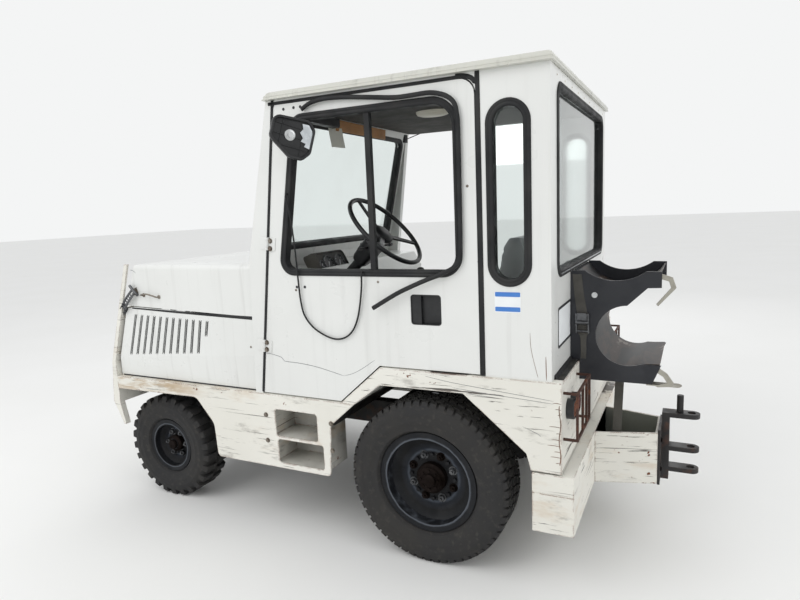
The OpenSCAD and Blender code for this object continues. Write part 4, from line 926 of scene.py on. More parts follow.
def copies_tree():
    """Copies of the piece along a line or turned round its own Z axis, with named inputs."""
    tree = bpy.data.node_groups.new("copies", "GeometryNodeTree")
    inputs = {name: tree.interface.new_socket(name, in_out="INPUT",
                                              socket_type="NodeSocket" + kind).identifier
              for name, kind in (("Geometry", "Geometry"), ("Count", "Int"), ("Step", "Vector"),
                                 ("First angle", "Float"), ("Turn", "Float"), ("Material", "Material"))}
    tree.interface.new_socket("Geometry", in_out="OUTPUT", socket_type="NodeSocketGeometry")
    nodes = {}
    wire(tree, nodes, {
        "given": "NodeGroupInput", "line": "GeometryNodeMeshLine", "index": "GeometryNodeInputIndex",
        "angle": "ShaderNodeMath", "turn": "ShaderNodeCombineXYZ", "copies": "GeometryNodeInstanceOnPoints",
        "real": "GeometryNodeRealizeInstances", "paint": "GeometryNodeSetMaterial", "out": "NodeGroupOutput",
    }, (
        ("given", "Count", "line", "Count"), ("given", "Step", "line", "Offset"), ("index", 0, "angle", 0),
        ("given", "Turn", "angle", 1), ("given", "First angle", "angle", 2), ("angle", 0, "turn", "Z"),
        ("line", "Mesh", "copies", "Points"), ("given", "Geometry", "copies", "Instance"),
        ("turn", 0, "copies", "Rotation"), ("copies", "Instances", "real", "Geometry"),
        ("real", "Geometry", "paint", "Geometry"), ("given", "Material", "paint", "Material"),
        ("paint", "Geometry", "out", "Geometry")))
    nodes["angle"].operation = "MULTIPLY_ADD"
    return tree, inputs


def repeated(shape, count, material, first=0.0, step=None):
    """A shape in a ring about its own Z axis, or in a straight row where a step is given."""
    holder = linked("holder", shape.data("one_of_copies"))
    modifier = holder.modifiers.new("repeat", "NODES")
    modifier.node_group, inputs = copies_tree()
    for name, value in (("Count", count), ("Step", step or (0.0, 0.0, 0.0)), ("First angle", first),
                        ("Turn", 0.0 if step else 2 * math.pi / count), ("Material", MATERIALS[material])):
        modifier[inputs[name]] = value
    made = evaluated(holder)
    bpy.data.objects.remove(holder)
    return made


class TUG_OT_tyres(bpy.types.Operator):
    """Tyres with lugs at the front and road blocks at the rear"""
    bl_idname = "tug.tyres"
    bl_label = "Tyres"

    # Station, bead, flange, half width of the rim, depth of the tread and points round.
    ENDS = {"front": (WHEELBASE, 127, 150, 66, 15, 96), "rear": (0, 203, 228, 86, 9, 128)}
    LUG_SKEW = 3
    BLOCK_SKEW = 0.16

    def execute(self, context):
        for side, hand in HANDS:
            for end, (station, *rim, depth, sides) in self.ENDS.items():
                radius, width, middle, _ = wheel_size(end, hand)
                tyre = Shape()
                tyre.turned(self.carcass(*rim, radius - depth, width / 2), sides=sides)
                for data in getattr(self, end + "_tread")(radius, radius - depth, width / 2):
                    tyre.mesh.from_mesh(data)
                tyre.place(wheel_matrix((station, middle, radius), side))
                tyre.finish(f"{end}_tyre_{hand}", "tyre_rubber", f"wheel_{end}_{hand}", f"tyre_{end}_{hand}",
                            angle=40)
        return {"FINISHED"}

    def carcass(self, bead, flange, rim_half, crown, wide):
        """Side wall and shoulder of a tyre, as (radius, half width) points from the bead outwards."""
        half = [(bead, rim_half - 8), (flange + 2, rim_half - 8), (flange + 5, rim_half - 2),
                (flange + 12, wide - 13), (flange + 15, wide - 11), (flange + 18, wide - 11)]
        half += [(mix(flange, crown, share), wide - back) for share, back in (
            (0.36, 4), (0.42, 1.2), (0.46, 2), (0.62, 2.5), (0.66, 0.8), (0.7, 2.4), (0.86, 7))]
        half += [(crown - 8, wide - 16), (crown - 2, wide - 26), (crown, wide - 40)]
        return half + [(r, -h) for r, h in reversed(half)]

    def front_tread(self, radius, crown, half):
        """Two rows of slanted lugs that meet in the middle."""
        section = [(crown - 34, half - 5), (crown - 12, half - 6), (radius - 4, half - 12),
                   (radius, half - 20), (radius, 8), (crown - 3, 7), (crown - 3, half - 34),
                   (crown - 30, half - 18)]
        count = sizes().front_lugs
        for row in (1, -1):
            lug = self.block(section, row, radius, (-18, -6, 6, 17),
                             lambda h: self.LUG_SKEW * (1 - h / half))
            yield repeated(lug, count, "tyre_rubber", math.pi / 2 + math.pi / count * (row < 0))

    def rear_tread(self, radius, crown, half):
        """Shoulder blocks, a row of blocks on each side and ribs in the middle."""
        count = sizes().rear_blocks
        pitch = 2 * math.pi * radius / count
        rows = (
            (((crown - 24, half - 9), (crown - 6, half - 14), (radius - 3, half - 20),
              (radius - 1, half - 28), (radius, half - 46), (crown - 3, half - 48), (crown - 3, half - 34),
              (crown - 24, half - 18)), 0.72, 0),
            (((crown - 3, half - 52), (radius, half - 53), (radius, half - 76), (crown - 3, half - 77)),
             0.78, 0.5),
            (((crown - 3, 14), (radius, 13), (radius, -13), (crown - 3, -14)), 0.8, 0.2),
        )
        for section, fill, phase in rows:
            length = pitch * fill / 2
            for row in (1, -1) if section[0][1] > 20 else (1,):
                block = self.block(section, row, radius, (-length, length),
                                   lambda h: self.BLOCK_SKEW * (half - abs(h)))
                yield repeated(block, count, "tyre_rubber", 2 * math.pi / count * (phase + 0.25 * row))

    def block(self, section, row, radius, lengths, skew):
        """A block of (radius, half width) points that follows the tyre's curve and slants across it."""
        block = Shape()
        block.skin([[(r * math.cos(a), r * math.sin(a), row * h) for r, h in section
                     for a in ((t + skew(h)) / radius,)] for t in lengths])
        return block


class TUG_OT_mirror(bpy.types.Operator):
    """The door's mirror on its arm, with the glass broken away"""
    bl_idname = "tug.mirror"
    bl_label = "Mirror"

    CENTRE = (500, 818, 1880)
    FOOT_X = 634

    def execute(self, context):
        outline = [(-92, -50, 30), (-62, -86, 24), (-5, -88, 30), (92, -25, 30), (92, 70, 34), (-60, 84, 34),
                   (-92, 50, 30)]
        matrix = turned_at(self.CENTRE, -42, "Z") @ Matrix.Rotation(math.radians(16), 4, "X")

        def ring(d, x):
            return [(x, p.x, p.y) for p in rounded(inset(outline, max(d, 0.01)), 8)]

        # The glass looks towards local -X; the shell is a bowl with a rolled rim.
        shell = Shape()
        sections = ((46, 16), (22, 10), (12, -4), (11, -14), (10, -20), (3, -22), (0, -18), (0, 2), (6, 12),
                    (22, 18), (46, 22))
        shell.skin([ring(d, x) for d, x in sections])
        shell.place(matrix)
        x, y, z = self.FOOT_X, CAB_Y, self.CENTRE[2] + 25
        shell.rod((x, y + 14, z), (522, 822, z), 9, 12)
        shell.block((x - 14, x + 14), (y, y + 10), (z - 26, z + 26))
        for level in (z - 16, z + 16):
            shell.bolt((x, y + 10, level), (0, 1, 0), 5, 5)
        shell.finish("mirror_shell", "black_plastic", "door", "mirror_left", bevel=1, angle=45)
        back = Shape()
        back.slab(rounded(inset(outline, 12), 8), "x", -8, -5)
        for level, far in ((-42, 34), (0, 74), (42, 74)):
            back.block((-12, -8), (-72, far), (level - 2, level + 2))
        for across, foot in ((-46, -70), (46, -38)):
            back.block((-12, -8), (across - 2, across + 2), (foot, 64))
        back.place(matrix)
        back.finish("mirror_back", "black_plastic", "door")
        nut = Shape()
        nut.turned([(9, 0), (23, 0), (23, 3), (20, 5), (9, 5)], (-9, 8, 4), (-1, 0, 0), 24)
        nut.bolt((-12, 8, 4), (-1, 0, 0), 11, 9)
        nut.place(matrix)
        nut.finish("mirror_nut", "bright_metal", "door")
        shard = Shape()
        shard.slab([(-82, 30), (-78, 44), (-60, 64), (-32, 62), (-40, 42), (-30, 24), (-46, 6), (-40, -10),
                    (-62, -14), (-58, -28), (-82, -32)], "x", -15, -12)
        shard.place(matrix)
        shard.finish("mirror_glass", "mirror_glass", "door")
        return {"FINISHED"}


class TUG_OT_roof(bpy.types.Operator):
    """Roof tray with rolled edges, a pressed groove and a drip lip"""
    bl_idname = "tug.roof"
    bl_label = "Roof"

    # Inset from the lowest edge and level below the top.
    SECTION = ((0, 33), (0, 29), (3, 27.5), (3, 22), (1.5, 20.5), (1.5, 15), (4, 12.5), (6, 6),
               (10, 2), (16, 0))

    def execute(self, context):
        low, high = node_box("roof")
        roof = Shape()
        levels = []
        for d, drop in self.SECTION:
            brow = 23 * (1 - drop / 33)
            outline = rectangle((low[0] + d, high[0] - d * 0.6 - brow),
                                (low[1] + d, high[1] - d), 8 + d * 0.5)
            levels.append((outline, high[2] - drop))
        levels.append((rectangle((low[0] + 30, high[0] - 60), (low[1] + 30, high[1] - 30), 20),
                       high[2] - 1.5))
        roof.stack(levels)
        roof.block((-CAB_BACK + WALL, SCREEN_TOP[0] - WALL - 14), (low[1] + 74, high[1] - 74),
                   (EAVE_Z - 16, EAVE_Z + 1))
        roof.finish("roof_tray", "roof_paint", "body", "roof", angle=30)
        return {"FINISHED"}


class TUG_OT_wheel_fittings(bpy.types.Operator):
    """Wheel nuts, rusty hubs and their caps"""
    bl_idname = "tug.wheel_fittings"
    bl_label = "Wheel nuts and hubs"

    # Station, hub radius, hub top, disc level, stud circle, studs, bright nuts and cap profile.
    ENDS = {
        "front": (WHEELBASE, 46, 42, 8, 68, 6, 6,
                  [(0, 41), (27, 41), (27, 54), (24, 59), (12, 62), (0, 62)]),
        "rear": (0, 68, 52, 12, 104, 8, 4,
                 [(0, 51), (55, 51), (55, 57), (51, 60), (31, 60), (29, 70), (23, 74), (0, 74)]),
    }

    def execute(self, context):
        for side, hand in HANDS:
            for end, (station, hub, top, disc, ring, studs, bright, cap) in self.ENDS.items():
                *_, middle, level = wheel_size(end, hand)
                place = wheel_matrix((station, middle, level), side)
                body, name = f"wheel_{end}_{hand}", f"{end}_{hand}"
                rings = [("bright", "latch_dark", bright, math.pi / 8 * (bright < studs))]
                if bright < studs:
                    rings.append(("rusty", "rusty_metal", studs - bright, math.pi / 8 + 2 * math.pi / studs))
                for kind, material, count, first in rings:
                    nuts = Shape()
                    nuts.mesh.from_mesh(repeated(self.nut(ring, disc), count, material, first))
                    nuts.place(place)
                    nuts.finish(f"{kind}_nuts_{name}", material, body, slot="latch_steel")
                hubs = Shape()
                hubs.turned(cap, sides=40)
                hubs.turned([(hub + out, z) for out, z in (
                    (-14, top - 1), (-14, top + 1.4), (-9, top + 1.4), (1.4, top - 9), (1.4, disc + 1),
                    (-2, disc + 1), (-2, top - 11))], sides=40)
                if end == "rear":
                    bolt = Shape()
                    bolt.bolt((42, 0, 59), (0, 0, 1), 6, 6)
                    hubs.mesh.from_mesh(repeated(bolt, studs, "rusty_metal"))
                hubs.place(place)
                hubs.finish(f"hub_{name}", "rusty_metal", body)
        return {"FINISHED"}

    def nut(self, ring, disc):
        """A nut on its washer, with the stud's end standing out of it."""
        nut = Shape()
        nut.turned([(7, 0), (20, 0), (20, 2.6), (7, 2.6)], (ring, 0, disc), sides=20)
        for foot, top, radius, sides, tip in ((2, 16, 15.5, 6, 15.5), (16, 19, 15.5, 6, 12.5),
                                              (15, 27, 7, 12, 6)):
            nut.rod((ring, 0, disc + foot), (ring, 0, disc + top), radius, sides, tip)
        return nut


# How finely a pad's cover is divided, how far it may rise, and how its sewn channels are pressed in.
PAD_GRID = 6 * MM
PAD_RISE = 9 * MM
PAD_PRESSURE = 4
PAD_FRAMES = 20
SEAM_DEPTH = 4 * MM
SEAM_WIDTH = 7


def puffed(shape, rests):
    """A padded shape with its cover blown up by cloth simulation, held still where it rests."""
    scene = bpy.context.scene
    shape.settle()
    pad = linked("pad", shape.data("pad"))
    grid = pad.modifiers.new("grid", "REMESH")
    grid.mode = "VOXEL"
    grid.voxel_size = PAD_GRID
    made = pad.data = evaluated(pad)
    start = [v.co.copy() for v in made.vertices]
    held = pad.vertex_groups.new(name="held")
    held.add([v.index for v in made.vertices if (v.co.z - ORIGIN.z) / MM < rests], 1.0, "ADD")
    cover = pad.modifiers.new("cover", "CLOTH")
    cover.settings.use_pressure = True
    cover.settings.uniform_pressure_force = PAD_PRESSURE
    cover.settings.effector_weights.gravity = 0
    cover.settings.vertex_group_mass = "held"
    for number in range(1, PAD_FRAMES + 1):
        scene.frame_set(number)
    made = evaluated(pad)
    for v, p in zip(made.vertices, start):
        move = v.co - p
        if move.length > PAD_RISE:
            v.co = p + move.normalized() * PAD_RISE
    scene.frame_set(1)
    bpy.data.objects.remove(pad)
    return made


def sewn(data, channels, along):
    """Presses channels, given as (axis, place), into the face of a pad that looks along a direction."""
    data.update()
    for v in data.vertices:
        if v.normal.dot(along) >= 0.3:
            near = min(abs((v.co - ORIGIN)[axis] / MM - place) for axis, place in channels)
            v.co -= along * (SEAM_DEPTH * math.exp(-(near / SEAM_WIDTH) ** 2))
    data.update()
    return data


class TUG_OT_seat(bpy.types.Operator):
    """Driver's seat: a cushion and a back with sewn covers, and the recliner plates between them"""
    bl_idname = "tug.seat"
    bl_label = "Seat"

    MIDDLE_Y = 300
    LEAN = 55
    BACK_STEPS = 10

    def pad(self, name, rings, rests, channels, along, replaces=()):
        """A padded piece from (outline, level by station) rings, held below a level."""
        shape = Shape()
        shape.skin([[(p.x, p.y, level(p.x)) for p in rounded(outline)] for outline, level in rings])
        data = sewn(puffed(shape, rests), channels, Vector(along))
        dress(data, name, "seat_vinyl", replaces=replaces, angle=70)

    def execute(self, context):
        low, high = node_box("seat")
        base = low[2]
        y = (low[1] + 16, high[1] - 16)
        front, rear, top = high[0] - 8, -262, 74
        rise = 14 / (front - rear) / top
        rings = []
        for inward, up in ((6, 0.5), (0, 14), (-2, 40), (0, 62), (8, 72), (24, top)):
            outline = rectangle((rear + inward, front - inward), (y[0] + inward, y[1] - inward),
                                46 - inward * 0.5)
            rings.append((outline, lambda x, up=up: base + up + rise * (x - rear) * up))
        self.pad("seat_cushion", rings, base + 8, [(0, x) for x in (-150, -60, 30)]
                 + [(1, self.MIDDLE_Y + across) for across in (-165, 165)], (0, 0, 1), "seat")

        foot = base + 84
        rings = []
        for i in range(self.BACK_STEPS + 1):
            t = i / self.BACK_STEPS
            z = mix(foot, high[2] - 8, t)
            x = -300 - self.LEAN * (z - base - 76) / (high[2] - base - 76)
            curve = 18 * math.sin(math.pi * min(1, t * 1.4)) * (1 - t)
            end = 1 - (2 * t - 1) ** 8
            half = (y[1] - y[0]) / 2 * (0.93 + 0.07 * end) - 16 * max(0, t - 0.55)
            deep = 40 * (0.55 + 0.45 * end)
            outline = rectangle((x - deep + curve, x + deep + curve),
                                (self.MIDDLE_Y - half, self.MIDDLE_Y + half), deep * 0.8)
            rings.append((outline, lambda x, z=z: z))
        self.pad("seat_back", rings, foot + 5, [(1, self.MIDDLE_Y + across) for across in (-150, 150)]
                 + [(2, base + up) for up in (190, 280, 370)], (1, 0, 0))
        self.metal(base, y)
        return {"FINISHED"}

    def metal(self, base, y):
        """Recliner plates with their round knobs."""
        shape = Shape()
        for side in (y[0] - 13, y[1] + 13):
            outline = [(-330, base + 14, 10), (-215, base + 14, 10), (-215, base + 50, 12),
                       (-300, base + 190, 14), (-344, base + 190, 14)]
            shape.slab(rounded(outline), "y", side - 2.5, side + 2.5)
            out = 1 if side > self.MIDDLE_Y else -1
            shape.turned([(0, 0), (26, 0), (26, 5), (20, 8), (0, 8)], (-290, side, base + 84),
                         (0, out, 0), 24)
        shape.finish("seat_frame", "axle_black", angle=40)


class TUG_OT_fasteners(bpy.types.Operator):
    """Screws, bolts and drilled holes in the sheet metal"""
    bl_idname = "tug.fasteners"
    bl_label = "Fasteners"

    # Head radius and height by kind.
    HEADS = {"screw": (5.5, 2.4), "bolt": (9, 7), "rivet": (3.2, 1.6)}
    # Piece, body, finish, kind, direction and places.
    SETS = (
        ("panel_screws", "body", "worn_steel", "screw", (0, 1, 0),
         ((1766, 704, 1042), (1839, 704, 834), (903, 704, 929))),
        ("right_panel_screws", "body", "worn_steel", "screw", (0, -1, 0),
         ((1766, -704, 1042), (1839, -704, 834), (903, -704, 929))),
        ("door_screws", "door", "worn_steel", "screw", (0, 1, 0),
         ((606, 712, 1217), (179, 712, 1261), (-232, 712, 1640))),
        ("hinge_bolts", "door", "worn_steel", "bolt", (0, 1, 0),
         ((793, 716, 961), (796, 716, 927), (730, 716, 1443), (733, 716, 1408))),
        ("plate_bolts", "body", "bright_metal", "bolt", (0, 1, 0),
         ((-652, 333, 1170),)),
        ("hitch_bolts", "body", "rusty_metal", "bolt", (-1, 0, 0),
         ((-912, -84, 330), (-912, 84, 330), (-912, -84, 470), (-912, 84, 470))),
        ("back_plate_bolts", "body", "worn_steel", "bolt", (-1, 0, 0),
         tuple((-562, y, z) for y in (-60, 80, 280) for z in (930, 1150))),
        ("step_bolts", "body", "worn_steel", "bolt", (0, 1, 0),
         ((454, 721, 470), (454, 721, 600), (828, 721, 470), (828, 721, 600))),
        ("roof_rivets", "body", "cream_paint", "rivet", (-1, 0, 0),
         tuple((-552, y, 2030) for y in range(-600, 601, 150))),
    )
    HOLES = ((600, 712, 1231), (556, 712, 1232), (608, 712, 2016), (554, 712, 2017), (519, 712, 2017))

    def execute(self, context):
        for name, body, material, kind, out, places in self.SETS:
            radius, height = self.HEADS[kind]
            heads = Shape()
            for place in places:
                if kind == "bolt":
                    heads.bolt(place, out, radius, height)
                else:
                    heads.turned([(0, -1), (radius, -1), (radius, height * 0.4),
                                  (radius * 0.7, height * 0.85), (0, height)], place, out, 14)
            heads.finish(name, material, body, angle=40)
        holes = Shape()
        for place in self.HOLES:
            holes.turned([(0, 0.3), (4.2, 0.3), (6.4, 0.9), (6.4, -1), (0, -1)], place, (0, 1, 0), 16)
        holes.finish("drilled_holes", "border_black", "door", angle=40)
        return {"FINISHED"}


class TUG_OT_bonnet_fittings(bpy.types.Operator):
    """Draw latches, wire handle and black seam seals of the bonnet"""
    bl_idname = "tug.bonnet_fittings"
    bl_label = "Bonnet catches"

    PANEL_Y = 704
    # Louvre slots: station and level of the first and the last at their top and foot.
    LOUVRES = 12
    SLOT_TOPS = (1679, 1056), (1172, 1041)
    SLOT_FEET = (1748, 838), (1201, 882)
    # Stations and levels of the latch: foot, pin and cross handle.
    FOOT, PIN, HANDLE = (1762, 1084), (1735, 1106), (1657, 1193)
    # The seam along the lower edge of the bonnet: station, lowest and highest level of its seal.
    SEAM = ((882, 1064, 1082), (1100, 1070, 1084), (1400, 1079, 1090), (1700, 1090, 1098))

    def execute(self, context):
        for side, hand in HANDS:
            self.catch(side, hand)
            self.seam(side, hand)
            self.louvres(side, hand)
        self.wire_handle()
        return {"FINISHED"}

    def catch(self, side, hand):
        """Draw latch of a foot plate, two ribbed straps and a cross handle, with its keeper above."""
        y = side * self.PANEL_Y
        along = (Vector(self.HANDLE) - Vector(self.FOOT)).normalized()
        cross = Vector((-along.y, along.x))

        def point(place, out, across=0.0):
            p = Vector(place) + cross * across
            return (p.x, y + side * out, p.y)

        shape = Shape()
        foot = rounded(rectangle((-26, 26), (-20, 20), 6), 4)
        shape.slab([Vector(self.FOOT) + along * p.x + cross * p.y for p in foot], "y", y, y + side * 4)
        for across in (-15, 15):
            shape.ribbon([point(self.FOOT, 6, across), point(self.FOOT, 18, across),
                          point(self.PIN, 24, across)],
                         (along.x, 0, along.y), 16, 4)
            shape.tube([point(self.PIN, 22, across * 0.8), point((1712, 1132), 27, across * 0.8),
                        point((1684, 1163), 22, across * 0.8), point(self.HANDLE, 16, across * 0.7)], 6, 10)
        for place, out in ((self.PIN, 23), ((1750, 1094), 14)):
            shape.rod(point(place, out, -19), point(place, out, 19), 4.5, 12)
        for k in range(5):
            t = 0.15 + 0.14 * k
            place = Vector(self.PIN).lerp(Vector(self.HANDLE), t)
            shape.rod(point(place, 25 - 6 * t, -11), point(place, 25 - 6 * t, 11), 3.4, 10)
        for across in (-12, 12):
            shape.rod(point(self.FOOT, 4, across), point(self.FOOT, 7, across), 5, 12, 4)
        grip = [point(self.HANDLE, 16 + 3 * (1 - abs(a) / 38), a) for a in (-38, -26, -12, 0, 12, 26, 38)]
        shape.tube(grip, 7.5, 12)
        shape.finish(f"draw_latch_{hand}", "latch_dark", bevel=0.8, angle=40)
        keeper = Shape()
        keeper.slab([(1640, 1176), (1674, 1164), (1686, 1196), (1652, 1208)], "y", y, y + side * 3)
        keeper.tube([(1650, y + side * 2, 1184), (1654, y + side * 8, 1190), (1668, y + side * 8, 1178),
                     (1672, y + side * 2, 1170)], 3, 8)
        keeper.finish(f"latch_keeper_{hand}", "worn_steel", "bonnet", angle=40)

    def seam(self, side, hand):
        y = side * self.PANEL_Y
        rings = []
        for x, low, high in self.SEAM:
            middle, half = (low + high) / 2, (high - low) / 2
            rings.append([(x, y + side * out, middle + half * up) for out, up in (
                (0, 0.96), (1.8, 0.6), (2.2, 0), (1.6, -0.7), (0, -1), (-3, -0.9), (-3, 0.9))])
        seal = Shape()
        seal.skin(rings)
        seal.finish(f"bonnet_seam_{hand}", "seal_rubber", angle=50)

    def louvres(self, side, hand):
        """Black rings round the slanted slots and black strips in the gaps under and behind the panel:
        painted shade of the vent openings and of the gaps.
        """
        y = side * self.PANEL_Y
        # Each black ring widens the dark of a slot: painted shade of the raised vent's opening.
        edges = Shape()
        for i in range(self.LOUVRES):
            t = i / (self.LOUVRES - 1)
            top, foot = (Vector(first).lerp(Vector(last), t)
                         for first, last in (self.SLOT_TOPS, self.SLOT_FEET))
            if i == self.LOUVRES - 1:
                foot = top + Vector((15, -70))
            along = (top - foot).normalized() * 5
            rings = [[(p.x + a * half, y + side * out, p.y) for p, a in ((top + along, -1), (top + along, 1),
                                                                         (foot - along, 1),
                                                                         (foot - along, -1))]
                     for half, out in ((4.6, -1), (8.5, -1), (8.5, 0.5), (4.6, 0.7))]
            edges.skin(rings, closed=True)
        edges.finish(f"louvre_shade_rings_{hand}", "border_black", angle=30)
        # Black strips behind the seam at the panel's foot and in the gap at its rear end: painted shade of
        # these gaps.
        gaps = Shape()
        gaps.slab([(880, RAIL_Z), (1840, RAIL_Z), (1840, RAIL_Z + 7), (880, RAIL_Z + 7)], "y",
                  y - side * 12, y - side * 17)
        gaps.slab([(874, RAIL_Z), (879, RAIL_Z), (879, 884), (873, 884)], "y", y - side * 3, y + side * 0.6)
        gaps.finish(f"panel_gap_shade_{hand}", "border_black", slot="rubber_black", angle=30)

    def wire_handle(self):
        y = self.PANEL_Y
        handle = Shape()
        path = curve_points([(1603, y, 1167), (1603, y + 14, 1168), (1594, y + 24, 1172),
                             (1556, y + 26, 1177), (1518, y + 24, 1170), (1497, y + 18, 1162),
                             (1492, y + 8, 1160), (1492, y, 1160)], 4)
        handle.tube(path, 4.2, 10)
        for x, z in ((1603, 1167), (1492, 1160)):
            handle.turned([(0, 0), (11, 0), (10, 3), (6, 5), (0, 5)], (x, y, z), (0, 1, 0), 16)
        handle.finish("bonnet_wire_handle", "worn_steel", "bonnet", angle=40)


class TUG_OT_damage(bpy.types.Operator):
    """Cracks, scratches and rust lines on the painted sheets, and a dark line along the door's crease that
    is painted shade of its fold
    """
    bl_idname = "tug.damage"
    bl_label = "Cracks and scratches"

    # Piece, body, finish, half width, stand-off plane and points of (station, level) or (Y, level).
    LINES = (
        # The first two lines are painted shade along the fold of the door's crease.
        ("door_crease_shade", "door", "crack_dark", 1.7, 712,
         ((812, 908), (771, 905), (719, 894), (704, 880), (690, 875), (612, 872), (520, 862),
          (440, 846), (376, 832))),
        ("door_crease_rise_shade", "door", "crack_dark", 1.2, 712,
         ((376, 832), (330, 846), (280, 872), (212, 918))),
        ("bonnet_scratch", "bonnet", "crack_dark", 1.5, 704,
         ((1688, 1301), (1672, 1299), (1659, 1294), (1648, 1285))),
        ("pillar_crack", "body", "rust_line", 1.1, 712,
         ((-470, 1075), (-474, 1010), (-492, 930), (-500, 900))),
        ("pillar_rust", "body", "rust_line", 2.2, 712, ((-530, 985), (-531, 935), (-532, 892))),
    )
    # Level and length of the cracks that start at the rear corner of the wing.
    CORNER_CRACKS = ((806, 30), (782, 22), (760, 12), (712, 44), (686, 18), (660, 36), (636, 52),
                     (612, 26), (590, 40), (566, 20))
    RAIL_CRACKS = (
        ((-30, 868), (-140, 852), (-290, 838), (-430, 826), (-560, 815)),
        ((-150, 830), (-300, 818), (-420, 812), (-560, 804)),
        ((-210, 812), (-260, 808), (-330, 806)),
        ((-440, 700), (-500, 676), (-510, 668)),
        ((-60, 800), (-90, 799)),
    )

    def execute(self, context):
        for name, body, material, half, y, points in self.LINES:
            shape = Shape()
            self.mark(shape, half, y + 0.2, points)
            shape.finish(name, material, body)
        cracks = Shape()
        for points in self.RAIL_CRACKS:
            self.mark(cracks, 1.3, BODY_HALF + 0.2, points)
        cracks.finish("wing_cracks", "crack_dark")
        corner = Shape()
        for z, run in self.CORNER_CRACKS:
            self.mark(corner, 1.6, BODY_HALF + 0.2,
                      ((-588, z), (-588 + run * 0.5, z + 2), (-588 + run, z + 1)))
        self.mark(corner, 2.4, BODY_HALF + 0.2,
                  tuple((-584 + 3 * math.sin(z * 0.05), z) for z in range(800, 540, -20)))
        corner.finish("corner_rust_cracks", "rust_line")
        return {"FINISHED"}

    def mark(self, shape, half, y, points):
        """A shallow line on the sheet, thin at its ends."""
        path = curve_points([(x, y, z) for x, z in points], 5)

        def section(i):
            wide = half * min(1, 0.35 + 0.25 * i, 0.35 + 0.25 * (len(path) - 1 - i))
            return (wide, -0.8), (wide * 0.5, 0.3), (-wide * 0.5, 0.3), (-wide, -0.8)

        shape.sweep(path, section)


class TUG_OT_cab_lining(bpy.types.Operator):
    """Headlining, cab lamp, header board, wiper motor cover and the card that hangs inside"""
    bl_idname = "tug.cab_lining"
    bl_label = "Cab lining"

    def execute(self, context):
        lining = Shape()
        lining.stack([(rectangle((-CAB_BACK + WALL + 4 + inward, 640 - inward),
                                 (-664 + inward, 664 - inward), 40),
                       EAVE_Z - drop) for inward, drop in ((0, 18), (6, 26), (20, 30), (60, 33))])
        lining.finish("headlining", "lining", angle=40)
        lamp = Shape()
        lamp.turned([(0, 2), (88, 2), (88, -8), (80, -18), (60, -24), (0, -26)], sides=40)
        lamp.place(Matrix.Diagonal(Vector((1, 0.62, 1, 1))))
        lamp.place(Matrix.Translation(Vector((130, 160, EAVE_Z - 33))))
        lamp.finish("cab_lamp", "beige_plastic", angle=40)
        visor = Shape()
        visor.slab([(628, EAVE_Z - 88), (638, EAVE_Z - 88), (634, EAVE_Z - 33), (624, EAVE_Z - 33)],
                   "y", -296, 240)
        visor.finish("header_board", "brown_board", bevel=3, angle=40)
        cover = Shape()
        cover.slab(rounded([(270, EAVE_Z - 82, 12), (545, EAVE_Z - 78, 16), (545, EAVE_Z - 36, 6),
                            (270, EAVE_Z - 36, 6)]), "x", 590, 634)
        cover.finish("wiper_motor_cover", "black_plastic", bevel=4, angle=40)
        card = Shape()
        card.ribbon([(646, 232, EAVE_Z - 72), (640, 230, EAVE_Z - 123), (634, 226, EAVE_Z - 170)],
                    (0.84, 0.52, 0.12), 70, 1.2)
        card.finish("hanging_notice", "card")
        block = Shape()
        block.slab(rounded([(660, -672, 0), (726, -672, 0), (720, -640, 8), (668, -640, 8)]),
                   "z", 1985, 2034)
        block.rod((690, -650, 1996), (560, -655, 2034), 3, 8)
        block.finish("door_stay_block", "black_plastic", bevel=2, angle=40)
        return {"FINISHED"}


